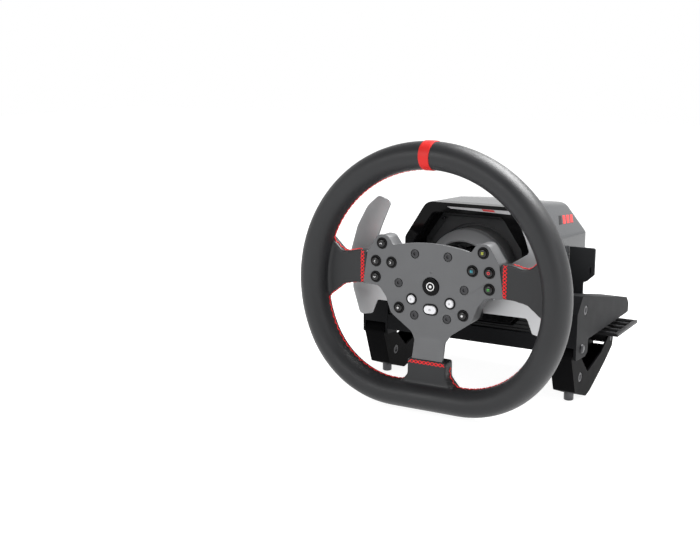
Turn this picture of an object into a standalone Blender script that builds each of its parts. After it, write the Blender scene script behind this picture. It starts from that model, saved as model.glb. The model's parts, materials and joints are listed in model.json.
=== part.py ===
"""Racing wheel for a desk: a D-shaped rim on a button hub, a quick release, a belt-driven base and two desk clamps.

Metres, +Z up. X is the driver's right and +Y points away from the driver. The origin is the centre of the deck's
underside, which rests on the desk top, so the desk plane is z = 0.
"""

import math

import bmesh
import bpy
from mathutils import Matrix, Vector

MM = 0.001
GAP = 0.3 * MM

# Driving dimensions.
HUB_Y = -168 * MM                # front face of the hub plate
HUB_Z = 62.4 * MM                # steering axis above the desk
RIM_RADIUS = 129 * MM            # centre line of the rim's round part
RIM_DROP = 3 * MM                # its centre below the steering axis
RIM_FLAT = 109.4 * MM            # centre line of the flat bottom below the axis
RIM_CORNER = 90 * MM
RIM_RADIAL = 13.5 * MM           # half thickness of the grip in the wheel's plane
RIM_DEPTH = 17 * MM              # half thickness along the steering axis
RIM_SET = -3.5 * MM              # rim plane from the hub plate's face
PLATE_T = 3 * MM
BUTTON_R = 4.1 * MM
COLLAR_R = 5.4 * MM
BUTTON_TRAVEL = 1.5 * MM
PADDLE_Y = 45 * MM
PADDLE_T = 2.4 * MM
PADDLE_PIVOT_X = 36 * MM
BEZEL_Y = 80 * MM                # bezel's front face behind the hub plate's face
PANEL_Y = 109.4 * MM
HOUSING_END = 244 * MM
DRUM_R = 44 * MM
CONE_FRONT_R = 34 * MM
CONE_Y = 70 * MM
SHAFT_R = 12 * MM
NOSE_R = 11 * MM
PULLEY_R = 36 * MM
MOTOR_PULLEY_R = 9 * MM
BELT_SPAN = 48 * MM              # between the two pulleys' axes
DECK_HALF = 89.6 * MM
CHEEK_IN = 90 * MM
CHEEK_OUT = 120 * MM
ARM_X = 105 * MM                 # middle of each clamp
ARM_HALF = 11.5 * MM
PIVOT = (-71 * MM, -5.7 * MM)    # clamp pivot as (y, z)
SCREW_HEAD = (-60.5 * MM, -58.1 * MM)
NUT = (-63 * MM, 31.8 * MM)
SEAT_ALONG = 19.8                # the seat barrel's place on the screw, in mm from the head
PAD_PIVOT = (37 * MM, -20.5 * MM)
PIN_R = 2.5 * MM
SCREW_R = 2.6 * MM
SCREW_HEAD_R = 5 * MM
SCREW_LENGTH = 98                # mm
BARREL_R = 5 * MM
TRUNNION_R = 3 * MM


def hub(x, y, z):
    """A point given in millimetres from the centre of the hub plate's face."""
    return Vector((x * MM, HUB_Y + y * MM, HUB_Z + z * MM))


def clear_scene():
    for obj in list(bpy.data.objects):
        bpy.data.objects.remove(obj, do_unlink=True)


def material(name, colour, roughness, metallic=0.0):
    mat = bpy.data.materials.get(name)
    if mat:
        return mat
    mat = bpy.data.materials.new(name)
    mat.use_nodes = True
    shader = mat.node_tree.nodes["Principled BSDF"]
    shader.inputs["Base Color"].default_value = (*colour, 1.0)
    shader.inputs["Roughness"].default_value = roughness
    shader.inputs["Metallic"].default_value = metallic
    return mat


LEATHER = material("leather", (0.03, 0.03, 0.032), 0.55)
RED = material("red_band", (0.7, 0.03, 0.03), 0.5)
GUNMETAL = material("gunmetal", (0.2, 0.2, 0.21), 0.45, 0.6)
SILVER = material("silver_metal", (0.55, 0.55, 0.57), 0.35, 0.8)
STEEL = material("steel", (0.4, 0.4, 0.42), 0.35, 1.0)
BLACK = material("black_plastic", (0.012, 0.012, 0.013), 0.4)
GLOSS = material("gloss_black", (0.005, 0.005, 0.006), 0.08)
WHITE = material("white_plastic", (0.8, 0.8, 0.82), 0.4)
DARK = material("dark_sheet", (0.045, 0.046, 0.05), 0.45, 0.3)
GREY = material("grey_shell", (0.16, 0.165, 0.17), 0.5)
PCB = material("circuit_board", (0.01, 0.08, 0.03), 0.5)
RUBBER = material("rubber", (0.02, 0.02, 0.02), 0.8)
MOTOR = material("motor_case", (0.12, 0.12, 0.13), 0.4, 0.7)


def add_mesh(name, bm, mat, smooth=True, location=None):
    """Makes an object from bm. With a location, the mesh is moved so that the object's origin is there."""
    bmesh.ops.remove_doubles(bm, verts=bm.verts, dist=1e-7)
    bmesh.ops.recalc_face_normals(bm, faces=bm.faces)
    if location is not None:
        bmesh.ops.translate(bm, verts=bm.verts, vec=-Vector(location))
    mesh = bpy.data.meshes.new(name)
    bm.to_mesh(mesh)
    bm.free()
    if smooth:
        mesh.shade_smooth()
        mesh.set_sharp_from_angle(angle=math.radians(35))
    obj = bpy.data.objects.new(name, mesh)
    if location is not None:
        obj.location = location
    bpy.context.scene.collection.objects.link(obj)
    if mat:
        mesh.materials.append(mat)
    return obj


def cutter(bm, name="cutter"):
    obj = add_mesh(name, bm, None, smooth=False)
    obj.hide_render = True
    obj.display_type = "WIRE"
    return obj


def boolean(obj, other, operation="DIFFERENCE"):
    mod = obj.modifiers.new(operation.title(), "BOOLEAN")
    mod.operation = operation
    mod.object = other
    return obj


def rounded(corners, steps=3):
    """Closed outline from (u, v, radius) corners in millimetres, each corner turned into an arc."""
    points = []
    count = len(corners)
    for i, (u, v, radius) in enumerate(corners):
        here = Vector((u, v))
        before = Vector(corners[i - 1][:2]) - here
        after = Vector(corners[(i + 1) % count][:2]) - here
        if radius <= 0:
            points.append(here)
            continue
        half = before.angle(after) / 2
        reach = min(radius / math.tan(half), 0.49 * before.length, 0.49 * after.length)
        radius = reach * math.tan(half)
        middle = here + (before.normalized() + after.normalized()).normalized() * (radius / math.sin(half))
        start = here + before.normalized() * reach - middle
        end = here + after.normalized() * reach - middle
        sweep = start.angle_signed(end)
        for k in range(steps + 1):
            turn = Matrix.Rotation(-sweep * k / steps, 2)
            points.append(middle + turn @ start)
    return points


def mirrored(half):
    """Right half of a corner list, top to bottom, completed with its mirror image."""
    return half + [(-u, v, r) for u, v, r in reversed(half)]


def extrude_outline(bm, outline, plane, low, high):
    """Prism of a 2-D outline in millimetres. plane "xz" runs along Y and plane "yz" along X; low and high in mm."""
    if plane == "xz":
        place = lambda p, d: hub(p[0], d, p[1])
    else:
        place = lambda p, d: Vector((d * MM, p[0] * MM, p[1] * MM))
    bottom = [bm.verts.new(place(p, low)) for p in outline]
    top = [bm.verts.new(place(p, high)) for p in outline]
    bm.faces.new(bottom)
    bm.faces.new(reversed(top))
    for i in range(len(outline)):
        j = (i + 1) % len(outline)
        bm.faces.new((bottom[i], top[i], top[j], bottom[j]))
    return bm


def prism(outline, plane, low, high):
    return extrude_outline(bmesh.new(), outline, plane, low, high)


def box(bm, low, high):
    size = Vector(high) - Vector(low)
    centre = (Vector(high) + Vector(low)) / 2
    matrix = Matrix.Translation(centre) @ Matrix.Diagonal((*size, 1))
    bmesh.ops.create_cube(bm, size=1, matrix=matrix)
    return bm


def hub_block(bm, low, high):
    """A box given by two corners in millimetres from the centre of the hub plate's face."""
    return box(bm, hub(*low), hub(*high))


def cylinder(bm, start, end, radius, segments=24, end_radius=None):
    start, end = Vector(start), Vector(end)
    along = end - start
    matrix = Matrix.Translation((start + end) / 2) @ along.to_track_quat("Z", "Y").to_matrix().to_4x4()
    bmesh.ops.create_cone(
        bm, cap_ends=True, segments=segments, radius1=radius,
        radius2=radius if end_radius is None else end_radius, depth=along.length, matrix=matrix,
    )
    return bm


def turned(profile, segments=48, ripple=None):
    """Solid of revolution about the steering axis from a closed (radius, y) profile in mm from the hub face."""
    bm = bmesh.new()
    rings = []
    for k in range(segments):
        angle = 2 * math.pi * k / segments
        scale = ripple(k) if ripple else 0.0
        ring = []
        for radius, y, *grow in profile:
            r = radius + (scale if grow else 0.0)
            ring.append(bm.verts.new(hub(r * math.cos(angle), y, r * math.sin(angle))))
        rings.append(ring)
    closed = profile[0][0] > 0.01
    count = len(profile)
    for k in range(segments):
        a, b = rings[k], rings[(k + 1) % segments]
        for i in range(count if closed else count - 1):
            j = (i + 1) % count
            if profile[i][0] < 0.01 and profile[j][0] < 0.01:
                continue
            bm.faces.new((a[i], a[j], b[j], b[i]))
    bmesh.ops.remove_doubles(bm, verts=bm.verts, dist=1e-7)
    degenerate = [f for f in bm.faces if f.calc_area() < 1e-14]
    bmesh.ops.delete(bm, geom=degenerate, context="FACES_ONLY")
    return bm


# ---------------------------------------------------------------- the rim

def rim_path(steps):
    """Centre line of the rim as (x, z, outward normal) from the hub centre: a round top, a flat bottom."""
    inner = RIM_RADIUS - RIM_CORNER
    rise = RIM_DROP - RIM_FLAT + RIM_CORNER
    side = math.sqrt(inner**2 - rise**2)
    tangent = math.atan2(rise, side)
    runs = [
        (RIM_RADIUS, 0.0, -RIM_DROP, tangent, math.pi - tangent),
        (RIM_CORNER, -side, RIM_CORNER - RIM_FLAT, math.pi - tangent, 1.5 * math.pi),
        None,
        (RIM_CORNER, side, RIM_CORNER - RIM_FLAT, -0.5 * math.pi, tangent),
    ]
    path = []
    for run in runs:
        if run is None:
            count = max(2, round(2 * side / (2 * math.pi * RIM_RADIUS) * steps))
            for k in range(1, count):
                path.append((-side + 2 * side * k / count, -RIM_FLAT, Vector((0, -1))))
            continue
        radius, cx, cz, begin, finish = run
        count = round((finish - begin) * radius / (2 * math.pi * RIM_RADIUS) * steps)
        last = count if run is runs[1] else count - 1
        for k in range(0, last + 1):
            angle = begin + (finish - begin) * k / count
            normal = Vector((math.cos(angle), math.sin(angle)))
            path.append((cx + radius * normal.x, cz + radius * normal.y, normal))
    return path


def rim_sweep(section, path, closed=True):
    """Sweeps a closed (radial, depth) section along the rim's centre line."""
    bm = bmesh.new()
    rings = []
    for x, z, normal in path:
        ring = []
        for radial, depth in section:
            ring.append(bm.verts.new((
                x + normal.x * radial,
                HUB_Y + RIM_SET + depth,
                HUB_Z + z + normal.y * radial,
            )))
        rings.append(ring)
    turns = len(rings) if closed else len(rings) - 1
    for k in range(turns):
        a, b = rings[k], rings[(k + 1) % len(rings)]
        for i in range(len(section)):
            j = (i + 1) % len(section)
            bm.faces.new((a[i], b[i], b[j], a[j]))
    if not closed:
        bm.faces.new(rings[0])
        bm.faces.new(reversed(rings[-1]))
    return bm


def ellipse(a, b, segments):
    turn = 2 * math.pi / segments
    return [(a * math.cos(turn * k), b * math.sin(turn * k)) for k in range(segments)]


SPOKE_SIDE = [(70.6, 28.4, 1), (83, 28.5, 6), (98, 24.5, 8), (112, 38, 0), (126, 34, 0),
              (127, -14, 0), (116, -22, 0), (98, -7.5, 8), (83, -4.6, 4), (75.5, -4.6, 1)]
SPOKE_BOTTOM = [(-20, -73.2, 1.5), (20, -73.2, 1.5), (20, -88, 6), (28, -97, 0), (28, -108, 0),
                (-28, -108, 0), (-28, -97, 0), (-20, -88, 6)]
CORE_RADIAL = 4 * MM
CORE_DEPTH = 7 * MM


def flipped(corners):
    return [(-u, v, r) for u, v, r in reversed(corners)]


def core_bars(extra):
    """Flat bars that join the rim's core to the hub, grown all round by extra millimetres: two sides, one bottom."""
    low, high = 3.4 - extra, 7.4 + extra
    return [
        ((68.2 - extra, low, 2 - extra), (128 + extra, high, 22 + extra)),
        ((-128 - extra, low, 2 - extra), (-68.2 + extra, high, 22 + extra)),
        ((-8 - extra, low, -110 - extra), (8 + extra, high, -50 + extra)),
    ]


def build_rim():
    path = rim_path(64)
    grip = add_mesh("rim_grip", rim_sweep(ellipse(RIM_RADIAL, RIM_DEPTH, 12), path), LEATHER)
    for corners, low, high in ((SPOKE_SIDE, 0, 12), (flipped(SPOKE_SIDE), 0, 12), (SPOKE_BOTTOM, -8, 9.5)):
        boolean(grip, cutter(prism(rounded(corners), "xz", low, high), "spoke"), "UNION")

    def square(extra):
        a, b = CORE_RADIAL + extra, CORE_DEPTH + extra
        return [(a, b), (-a, b), (-a, -b), (a, -b)]

    core_path = rim_path(44)
    boolean(grip, cutter(rim_sweep(square(GAP), core_path), "core_room"))
    core = add_mesh("rim_core", rim_sweep(square(0), core_path), STEEL)
    for low, high in core_bars(0.3):
        boolean(grip, cutter(hub_block(bmesh.new(), low, high), "bar_room"))
    for low, high in core_bars(0):
        boolean(core, cutter(hub_block(bmesh.new(), low, high), "bar"), "UNION")


def build_stripe():
    """Thin red band round the grip at twelve o'clock: a sleeve cut off by two planes."""
    half = 6 * MM / RIM_RADIUS
    path = []
    for k in range(5):
        angle = math.pi / 2 - half + 2 * half * k / 4
        normal = Vector((math.cos(angle), math.sin(angle)))
        path.append((RIM_RADIUS * normal.x, RIM_RADIUS * normal.y - RIM_DROP, normal))
    outer = ellipse(RIM_RADIAL + 1.1 * MM, RIM_DEPTH + 1.1 * MM, 24)
    stripe = add_mesh("centre_stripe", rim_sweep(outer, path, closed=False), RED)
    spread = [(2 * p[0], p[1], p[2]) for p in path]
    inner = ellipse(RIM_RADIAL + GAP, RIM_DEPTH + GAP, 24)
    boolean(stripe, cutter(rim_sweep(inner, spread, closed=False), "grip_room"))


# ---------------------------------------------------------------- the hub

def top_arc():
    """Shallow arc of the hub plate's upper edge between the two ears."""
    reach, sag, steps = 37.0, 4.0, 8
    points = []
    for k in range(steps + 1):
        x = -reach + 2 * reach * k / steps
        points.append((x, 41.8 - sag * (x / reach) ** 2, 0))
    return points


def hub_outline(inset=0.0, foot=True):
    """Hub plate outline. inset pulls it in for the box behind; foot adds the neck to the lower spoke.

    The box behind has no foot, and its upper edge between the ears is lower than the plate's.
    """
    ear = [(41 + inset, 36.6 - inset, 4), (47.5 + inset, 46 - inset, 7), (58.6 - inset, 46 - inset, 7),
           (70 - inset, 28, 1.5), (74.8 - inset, -4.2 + inset, 2), (57 - inset, -4.8 + inset, 9),
           (49 - inset, -15, 6), (43.2 - inset, -31, 10)]
    if foot:
        ear += [(21 - inset, -46.6, 8), (16.4, -54, 6), (16.4, -72.8, 0.6)]
    else:
        ear += [(21 - inset, -46.6 + inset, 3)]
    drop = 0.0 if foot else 5.0
    top = [(x, z - inset - drop, r) for x, z, r in top_arc()]
    return rounded(top + ear + [(-u, v, r) for u, v, r in reversed(ear)])


DPAD = {"up": (-53.6, 37.6), "left": (-60.3, 19.5), "right": (-43.0, 19.5), "down": (-60.5, 3.7)}
FACE = {"top": (53.6, 37.6), "left": (43.0, 19.5), "right": (60.3, 19.5), "bottom": (60.5, 3.7)}
ROUND_BUTTONS = {f"dpad_{k}_button": v for k, v in DPAD.items()}
ROUND_BUTTONS.update({f"face_{k}_button": v for k, v in FACE.items()})
ROUND_BUTTONS.update({"stick_left_button": (-34.3, -24.6), "stick_right_button": (34.3, -24.6)})
WHITE_BUTTONS = {"share_button": (-20.6, -14.5), "options_button": (20.6, -14.5)}
PILL = (0.0, -22.8)
PILL_HALF = 2.4
HUB_SCREWS = [(35 * math.cos(math.radians(a)), 35 * math.sin(math.radians(a))) for a in range(0, 360, 60)]


def pill_outline(radius, steps=6):
    points = []
    for side, start in ((1, -90), (-1, 90)):
        for k in range(steps + 1):
            angle = math.radians(start + 180 * k / steps)
            u = PILL[0] + side * PILL_HALF + radius * math.cos(angle)
            points.append((u, PILL[1] + radius * math.sin(angle)))
    return points


def all_holes(bm, extra, low, high):
    """Bores for every button, grown by extra millimetres, between two depths behind the plate's face."""
    for x, z in [*ROUND_BUTTONS.values(), *WHITE_BUTTONS.values()]:
        cylinder(bm, hub(x, low, z), hub(x, high, z), COLLAR_R + extra * MM, 16)
    extrude_outline(bm, pill_outline(COLLAR_R / MM + extra), "xz", low, high)
    return bm


def bend_foot(bm):
    """Leans the neck towards the driver below the bend line."""
    for v in bm.verts:
        below = (HUB_Z - 50 * MM) - v.co.z
        if below > 1e-6:
            v.co.y -= 0.29 * below


FRAME_OUTLINE = rounded(mirrored([(43, 30.8, 3), (54, 43.6, 3), (64.2, 27, 2), (67.2, -1, 3), (53.5, -1.6, 3),
                                  (45.5, -14, 3), (39.6, -30.5, 3)]))


def build_hub():
    bm = prism(hub_outline(), "xz", 0, PLATE_T / MM)
    bmesh.ops.bisect_plane(bm, geom=bm.verts[:] + bm.edges[:] + bm.faces[:],
                           plane_co=(0, 0, HUB_Z - 50 * MM), plane_no=(0, 0, 1))
    bend_foot(bm)
    plate = add_mesh("hub_plate", bm, GUNMETAL)
    boolean(plate, cutter(all_holes(bmesh.new(), 0.3, -5, 8), "button_bores"))
    seats = bmesh.new()
    for x, z in HUB_SCREWS:
        cylinder(seats, hub(x, -2, z), hub(x, 1.6, z), 4.5 * MM, 16)
    cylinder(seats, hub(0, -2, 0), hub(0, 1.2, 0), 9 * MM, 32)
    boolean(plate, cutter(seats, "seats"))

    badge = bmesh.new()
    cylinder(badge, hub(0, -1.2, 0), hub(0, 1.2 - 0.3, 0), 8.7 * MM, 32)
    add_mesh("hub_badge", badge, GLOSS)

    shell = add_mesh("hub_box", prism(hub_outline(0.6, foot=False), "xz", 3.3, 20), SILVER)
    room = prism(hub_outline(1.7, foot=False), "xz", 1, 17.6)
    boolean(shell, cutter(room, "hub_room"))
    for low, high in core_bars(0.3):
        boolean(shell, cutter(hub_block(bmesh.new(), low, high), "bar_room"))

    frame = add_mesh("button_frame", prism(FRAME_OUTLINE, "xz", 8.2, 10.2), BLACK)
    boolean(frame, cutter(all_holes(bmesh.new(), 0, -0.8, 9.2), "collars"), "UNION")
    bores = bmesh.new()
    for x, z in [*ROUND_BUTTONS.values(), *WHITE_BUTTONS.values()]:
        cylinder(bores, hub(x, -5, z), hub(x, 12, z), BUTTON_R + GAP, 16)
    extrude_outline(bores, pill_outline(BUTTON_R / MM + 0.3), "xz", -5, 12)
    boolean(frame, cutter(bores, "button_bores"))

    board = bmesh.new()
    outline = rounded(mirrored([(40, 29.5, 3), (57, 26, 3), (57, 4, 3), (44, -8, 3), (36, -27, 3)]))
    extrude_outline(board, outline, "xz", 13.4, 15)
    add_mesh("circuit_board", board, PCB)


def domed_button(name, x, z, mat, crown):
    """Round key with a chamfered crown, its origin on its own axis at the plate's face."""
    bm = bmesh.new()
    edge = BUTTON_R * 0.72
    cylinder(bm, hub(x, -crown, z), hub(x, -crown + 1.1, z), edge, 16, BUTTON_R)
    bmesh.ops.delete(bm, geom=[f for f in bm.faces if f.calc_center_median().y > hub(0, -crown + 1.05, 0).y],
                     context="FACES")
    ring = [e for e in bm.edges if e.is_boundary]
    grown = bmesh.ops.extrude_edge_only(bm, edges=ring)
    tail = [v for v in grown["geom"] if isinstance(v, bmesh.types.BMVert)]
    for v in tail:
        v.co.y = hub(0, 11.4, 0).y
    bmesh.ops.contextual_create(bm, geom=[e for e in bm.edges if e.is_boundary])
    add_mesh(name, bm, mat, location=hub(x, 0, z))


def build_buttons():
    for name, (x, z) in ROUND_BUTTONS.items():
        domed_button(name, x, z, BLACK, 2.4)
    for name, (x, z) in WHITE_BUTTONS.items():
        domed_button(name, x, z, WHITE, 2.0)
    bm = prism(pill_outline(BUTTON_R / MM), "xz", -1.8, 11.4)
    add_mesh("menu_button", bm, WHITE, location=hub(PILL[0], 0, PILL[1]))


UPPER_PADDLE = [(33, 1.5, 1), (33, 15, 1), (60, 18.5, 8), (82.5, 33, 3), (78, 46, 12), (67.5, 70.5, 2), (69, 74, 2),
                (81, 78, 4), (94, 67, 14), (106, 45, 14), (114, 18, 8), (110, 1.5, 4)]
LOWER_PADDLE = [(33, -1.5, 1), (110, -1.5, 3), (111.5, -20, 14), (102.5, -48.5, 4), (88, -45.5, 2), (85, -38, 3),
                (82, -30.6, 3), (33, -30.6, 1)]


def build_paddles():
    for side, sign in (("right", 1), ("left", -1)):
        for level, corners in (("upper", UPPER_PADDLE), ("lower", LOWER_PADDLE)):
            outline = [(sign * u, v) for u, v in rounded(corners)]
            bm = prism(outline, "xz", PADDLE_Y / MM - PADDLE_T / MM, PADDLE_Y / MM)
            add_mesh(f"{level}_paddle_{side}", bm, SILVER, location=hub(sign * PADDLE_PIVOT_X / MM, PADDLE_Y / MM, 0))
        block = [(sign * 31, 24, 1), (sign * 37, 24, 1), (sign * 37, -34, 1), (sign * 31, -34, 1)]
        bm = prism(rounded(block, 2), "xz", 20.3, PADDLE_Y / MM - PADDLE_T / MM - 0.3)
        add_mesh(f"paddle_carrier_{side}", bm, BLACK)


def build_quick_release():
    socket = turned([(11.4, 61), (20, 61), (20, 26), (28, 26), (28, 20.3), (0, 20.3), (0, 36), (11.4, 36)], 28)
    add_mesh("quick_release_socket", socket, STEEL)
    ribs = 20

    def ripple(k):
        return 1.4 if k % 4 in (0, 1) else 0.0

    collar = turned([(20.4, 71), (27, 71), (28, 70, 1), (28, 50, 1), (27, 49), (20.4, 49)], ribs * 4, ripple)
    add_mesh("quick_release_collar", collar, BLACK)


# ---------------------------------------------------------------- the column and its drive

def build_column():
    shaft = turned([(0, 38.5), (8, 38.5), (NOSE_R / MM, 42), (NOSE_R / MM, 76), (SHAFT_R / MM, 78),
                    (SHAFT_R / MM, 172), (0, 172)], 24)
    add_mesh("steering_shaft", shaft, STEEL)
    pulley = turned([(12.3, 142), (PULLEY_R / MM + 1.5, 142), (PULLEY_R / MM + 1.5, 143.5), (PULLEY_R / MM, 143.5),
                     (PULLEY_R / MM, 154.5), (PULLEY_R / MM + 1.5, 154.5), (PULLEY_R / MM + 1.5, 156), (12.3, 156)], 36)
    add_mesh("column_pulley", pulley, MOTOR)
    for name, low, high in (("front_bearing", 113, 121), ("rear_bearing", 160, 168)):
        add_mesh(name, turned([(12.3, low), (19, low), (19, high), (12.3, high)], 24), STEEL)

    plate = rounded(mirrored([(50, 40, 6), (56, 25, 4), (56, -8, 4), (24, -32, 4)]))
    for name, low, high in (("front_chassis_plate", 113, 119), ("rear_chassis_plate", 160, 166)):
        obj = add_mesh(name, prism(plate, "xz", low, high), DARK)
        bore = cylinder(bmesh.new(), hub(0, low - 5, 0), hub(0, high + 5, 0), 19.3 * MM, 32)
        if name.startswith("rear"):
            cylinder(bore, hub(MOTOR_X, low - 5, MOTOR_Z), hub(MOTOR_X, high + 5, MOTOR_Z), 4 * MM, 16)
        boolean(obj, cutter(bore, "bores"))


MOTOR_X = 45.0
MOTOR_Z = math.sqrt((BELT_SPAN / MM) ** 2 - MOTOR_X**2)


def belt_loop(radius_big, radius_small, steps=24):
    """Outline round both pulleys: two arcs joined by tangent runs."""
    axis = math.atan2(MOTOR_Z, MOTOR_X)
    spread = math.acos((radius_big - radius_small) / (BELT_SPAN / MM))
    points = []
    for k in range(steps + 1):
        angle = axis + spread + (2 * math.pi - 2 * spread) * k / steps
        points.append((radius_big * math.cos(angle), radius_big * math.sin(angle)))
    for k in range(steps // 2 + 1):
        angle = axis - spread + 2 * spread * k / (steps // 2)
        points.append((MOTOR_X + radius_small * math.cos(angle), MOTOR_Z + radius_small * math.sin(angle)))
    return points


def build_drive():
    small = MOTOR_PULLEY_R / MM
    belt = add_mesh("drive_belt", prism(belt_loop(PULLEY_R / MM + 1.7, small + 1.7), "xz", 144, 154), RUBBER)
    boolean(belt, cutter(prism(belt_loop(PULLEY_R / MM + 0.35, small + 0.35), "xz", 140, 158), "belt_room"))
    pulley = bmesh.new()
    cylinder(pulley, hub(MOTOR_X, 143, MOTOR_Z), hub(MOTOR_X, 155, MOTOR_Z), MOTOR_PULLEY_R, 24)
    obj = add_mesh("motor_pulley", pulley, STEEL, location=hub(MOTOR_X, 149, MOTOR_Z))
    spindle = cylinder(bmesh.new(), hub(MOTOR_X, 150, MOTOR_Z), hub(MOTOR_X, 166, MOTOR_Z), 3 * MM, 16)
    boolean(obj, cutter(spindle, "spindle"), "UNION")
    can = bmesh.new()
    cylinder(can, hub(MOTOR_X - 5, 166.4, MOTOR_Z - 2), hub(MOTOR_X - 5, 226, MOTOR_Z - 2), 17 * MM, 28)
    add_mesh("drive_motor", can, MOTOR)


# ---------------------------------------------------------------- the base

HOUSING = mirrored([(45.5, 70, 12), (70.2, 31.5, 9), (70.2, -24, 6), (50, -48, 5)])
ROOF_BREAK = 155.0               # mm behind the hub plate's face, where the roof starts to fall away


def taper(depth):
    """Scales of the housing's half width, roof height and floor depth at a distance behind the hub plate's face."""
    front, length = BEZEL_Y / MM, (HOUSING_END - BEZEL_Y) / MM
    along = (depth - front) / length
    rise = min(1.0, (depth - front) / (ROOF_BREAK - front))
    fall = max(0.0, (depth - ROOF_BREAK) / (front + length - ROOF_BREAK))
    return 1 + 0.025 * along, 1 - 0.045 * rise - 0.155 * fall, 1 - 0.07 * along


def inset_outline(inset):
    """Housing outline pulled in by a wall of the given thickness in millimetres."""
    return mirrored([(45.5 - inset * 0.75, 70 - inset, 12 - inset * 0.5), (70.2 - inset, 31.5 - inset * 0.4, 8),
                     (70.2 - inset, -24 + inset * 0.4, 5), (50 - inset * 0.6, -48 + inset, 4)])


def tapered(corners, depth):
    """Housing section at one depth, as (u, v) points in millimetres."""
    wide, roof, floor = taper(depth)
    return [(u * wide, v * (roof if v > 0 else floor)) for u, v in rounded(corners)]


def tapered_prism(corners, low, high):
    """Housing section run from depth low to depth high along the housing's taper."""
    bm = bmesh.new()
    depths = [low, ROOF_BREAK, high] if low < ROOF_BREAK < high else [low, high]
    rings = [[bm.verts.new(hub(u, depth, v)) for u, v in tapered(corners, depth)] for depth in depths]
    bm.faces.new(rings[0])
    bm.faces.new(reversed(rings[-1]))
    for near, far in zip(rings, rings[1:]):
        for i in range(len(near)):
            j = (i + 1) % len(near)
            bm.faces.new((near[i], far[i], far[j], near[j]))
    return bm


def build_housing():
    end = HOUSING_END / MM
    shell = add_mesh("housing_shell", tapered_prism(HOUSING, 90, end), GREY)
    boolean(shell, cutter(tapered_prism(inset_outline(3), 80, end + 5), "housing_room"))

    bezel = add_mesh("front_bezel", tapered_prism(HOUSING, 80, 89.7), GLOSS)
    boolean(bezel, cutter(tapered_prism(inset_outline(10.5), 70, 95), "bezel_opening"))
    lip = tapered_prism(inset_outline(3.4), 86, 108)
    boolean(bezel, cutter(lip, "lip"), "UNION")
    boolean(bezel, cutter(tapered_prism(inset_outline(6), 84, 112), "lip_room"))
    around_drum = cylinder(bmesh.new(), hub(0, 60, 0), hub(0, 120, 0), DRUM_R + 0.6 * MM, 40)
    boolean(bezel, cutter(around_drum, "drum_room"))

    panel = add_mesh("front_panel", tapered_prism(inset_outline(3.5), PANEL_Y / MM, PANEL_Y / MM + 3), DARK)
    drum_room = cylinder(bmesh.new(), hub(0, 100, 0), hub(0, 120, 0), DRUM_R + GAP, 40)
    boolean(panel, cutter(drum_room, "drum_room"))

    drum = turned([(CONE_FRONT_R / MM, CONE_Y / MM), (DRUM_R / MM - 1, 81), (DRUM_R / MM, 83), (DRUM_R / MM, 112.4),
                   (24, 112.4), (24, 100), (30, 100), (CONE_FRONT_R / MM - 1.5, 78)], 40)
    add_mesh("column_cone", drum, GREY)

    cover = add_mesh("rear_cover", tapered_prism(inset_outline(3.4), end - 6, end - 2.5), BLACK)
    ports = hub_block(bmesh.new(), (-32, end - 19, -24), (32, end - 3, -8))
    boolean(cover, cutter(ports, "port_block"), "UNION")
    sockets = bmesh.new()
    hub_block(sockets, (-27, end - 14, -21), (-14, end, -11))
    hub_block(sockets, (-6, end - 14, -20.5), (6, end, -11.5))
    cylinder(sockets, hub(21, end - 14, -16), hub(21, end, -16), 4.5 * MM, 20)
    boolean(cover, cutter(sockets, "sockets"))


# ---------------------------------------------------------------- the deck and the clamps

CHEEK_SIDE = [(-88, -14.6, 2), (-88, 32, 2), (-73, 48.3, 3), (77.5, 18, 5), (85, 10, 4), (84, 0, 2), (-52, 0, 2),
              (-52, -13, 4), (-60, -16.4, 4)]


def build_deck():
    """Folded tray on the desk top, with a front flange that stops against the desk's edge."""
    side = [(-88, -9.2), (-86, -9.2), (-86, 0), (84, 0), (84, 14), (82, 14), (82, 2), (-86, 2), (-86, 7.4), (-88, 7.4)]
    half = DECK_HALF / MM
    add_mesh("deck", prism(side, "yz", -half, half), DARK)

    mount = [(-72, 2.3), (-40, 2.3), (-40, 13.9), (-72, 13.9)]
    add_mesh("housing_mount", prism(mount, "yz", -46, 46), BLACK)

    cradle = rounded([(-100, 16.7, 2), (100, 16.7, 2), (100, -12, 2), (92, -19.6, 2), (88, -21, 2), (88, -60.1, 0.6),
                      (-88, -60.1, 0.6), (-88, -21, 2), (-92, -19.6, 2), (-100, -12, 2)])
    bracket = add_mesh("cradle_bracket", prism(cradle, "xz", 188, 191), DARK)
    room = [(u * 1.008, v + 20 if v > 0 else v - 0.4) for u, v in tapered(HOUSING, 189.5)]
    boolean(bracket, cutter(prism(room, "xz", 180, 200), "housing_room"))
    slots = bmesh.new()
    for sign in (-1, 1):
        hub_block(slots, (sign * 95.5 - 0.8, 180, -11), (sign * 95.5 + 0.8, 200, -4))
    boolean(bracket, cutter(slots, "slots"))


def hole_x(bm, centre, radius, low, high, segments=16):
    """Bore along X between two X positions in mm."""
    y, z = centre
    return cylinder(bm, (low * MM, y, z), (high * MM, y, z), radius, segments)


def arm_outline():
    """Clamp arm from the side: a boss at the pivot, a deep V and a rising tip."""
    return [(-91, -12, 3), (-82, -2, 4), (-76, 3.6, 6), (-66, 3.6, 6), (-60, -6, 5), (-59.4, -19, 3),
            (-38.2, -38.1, 3), (5.7, -27.5, 14), (20, -19.5, 6), (30, -14.8, 4), (38, -13.2, 4), (45, -18, 4),
            (43, -29, 6), (18, -42, 12), (-28.7, -61, 5), (-41.1, -63.4, 4), (-76, -50.6, 3)]


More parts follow.
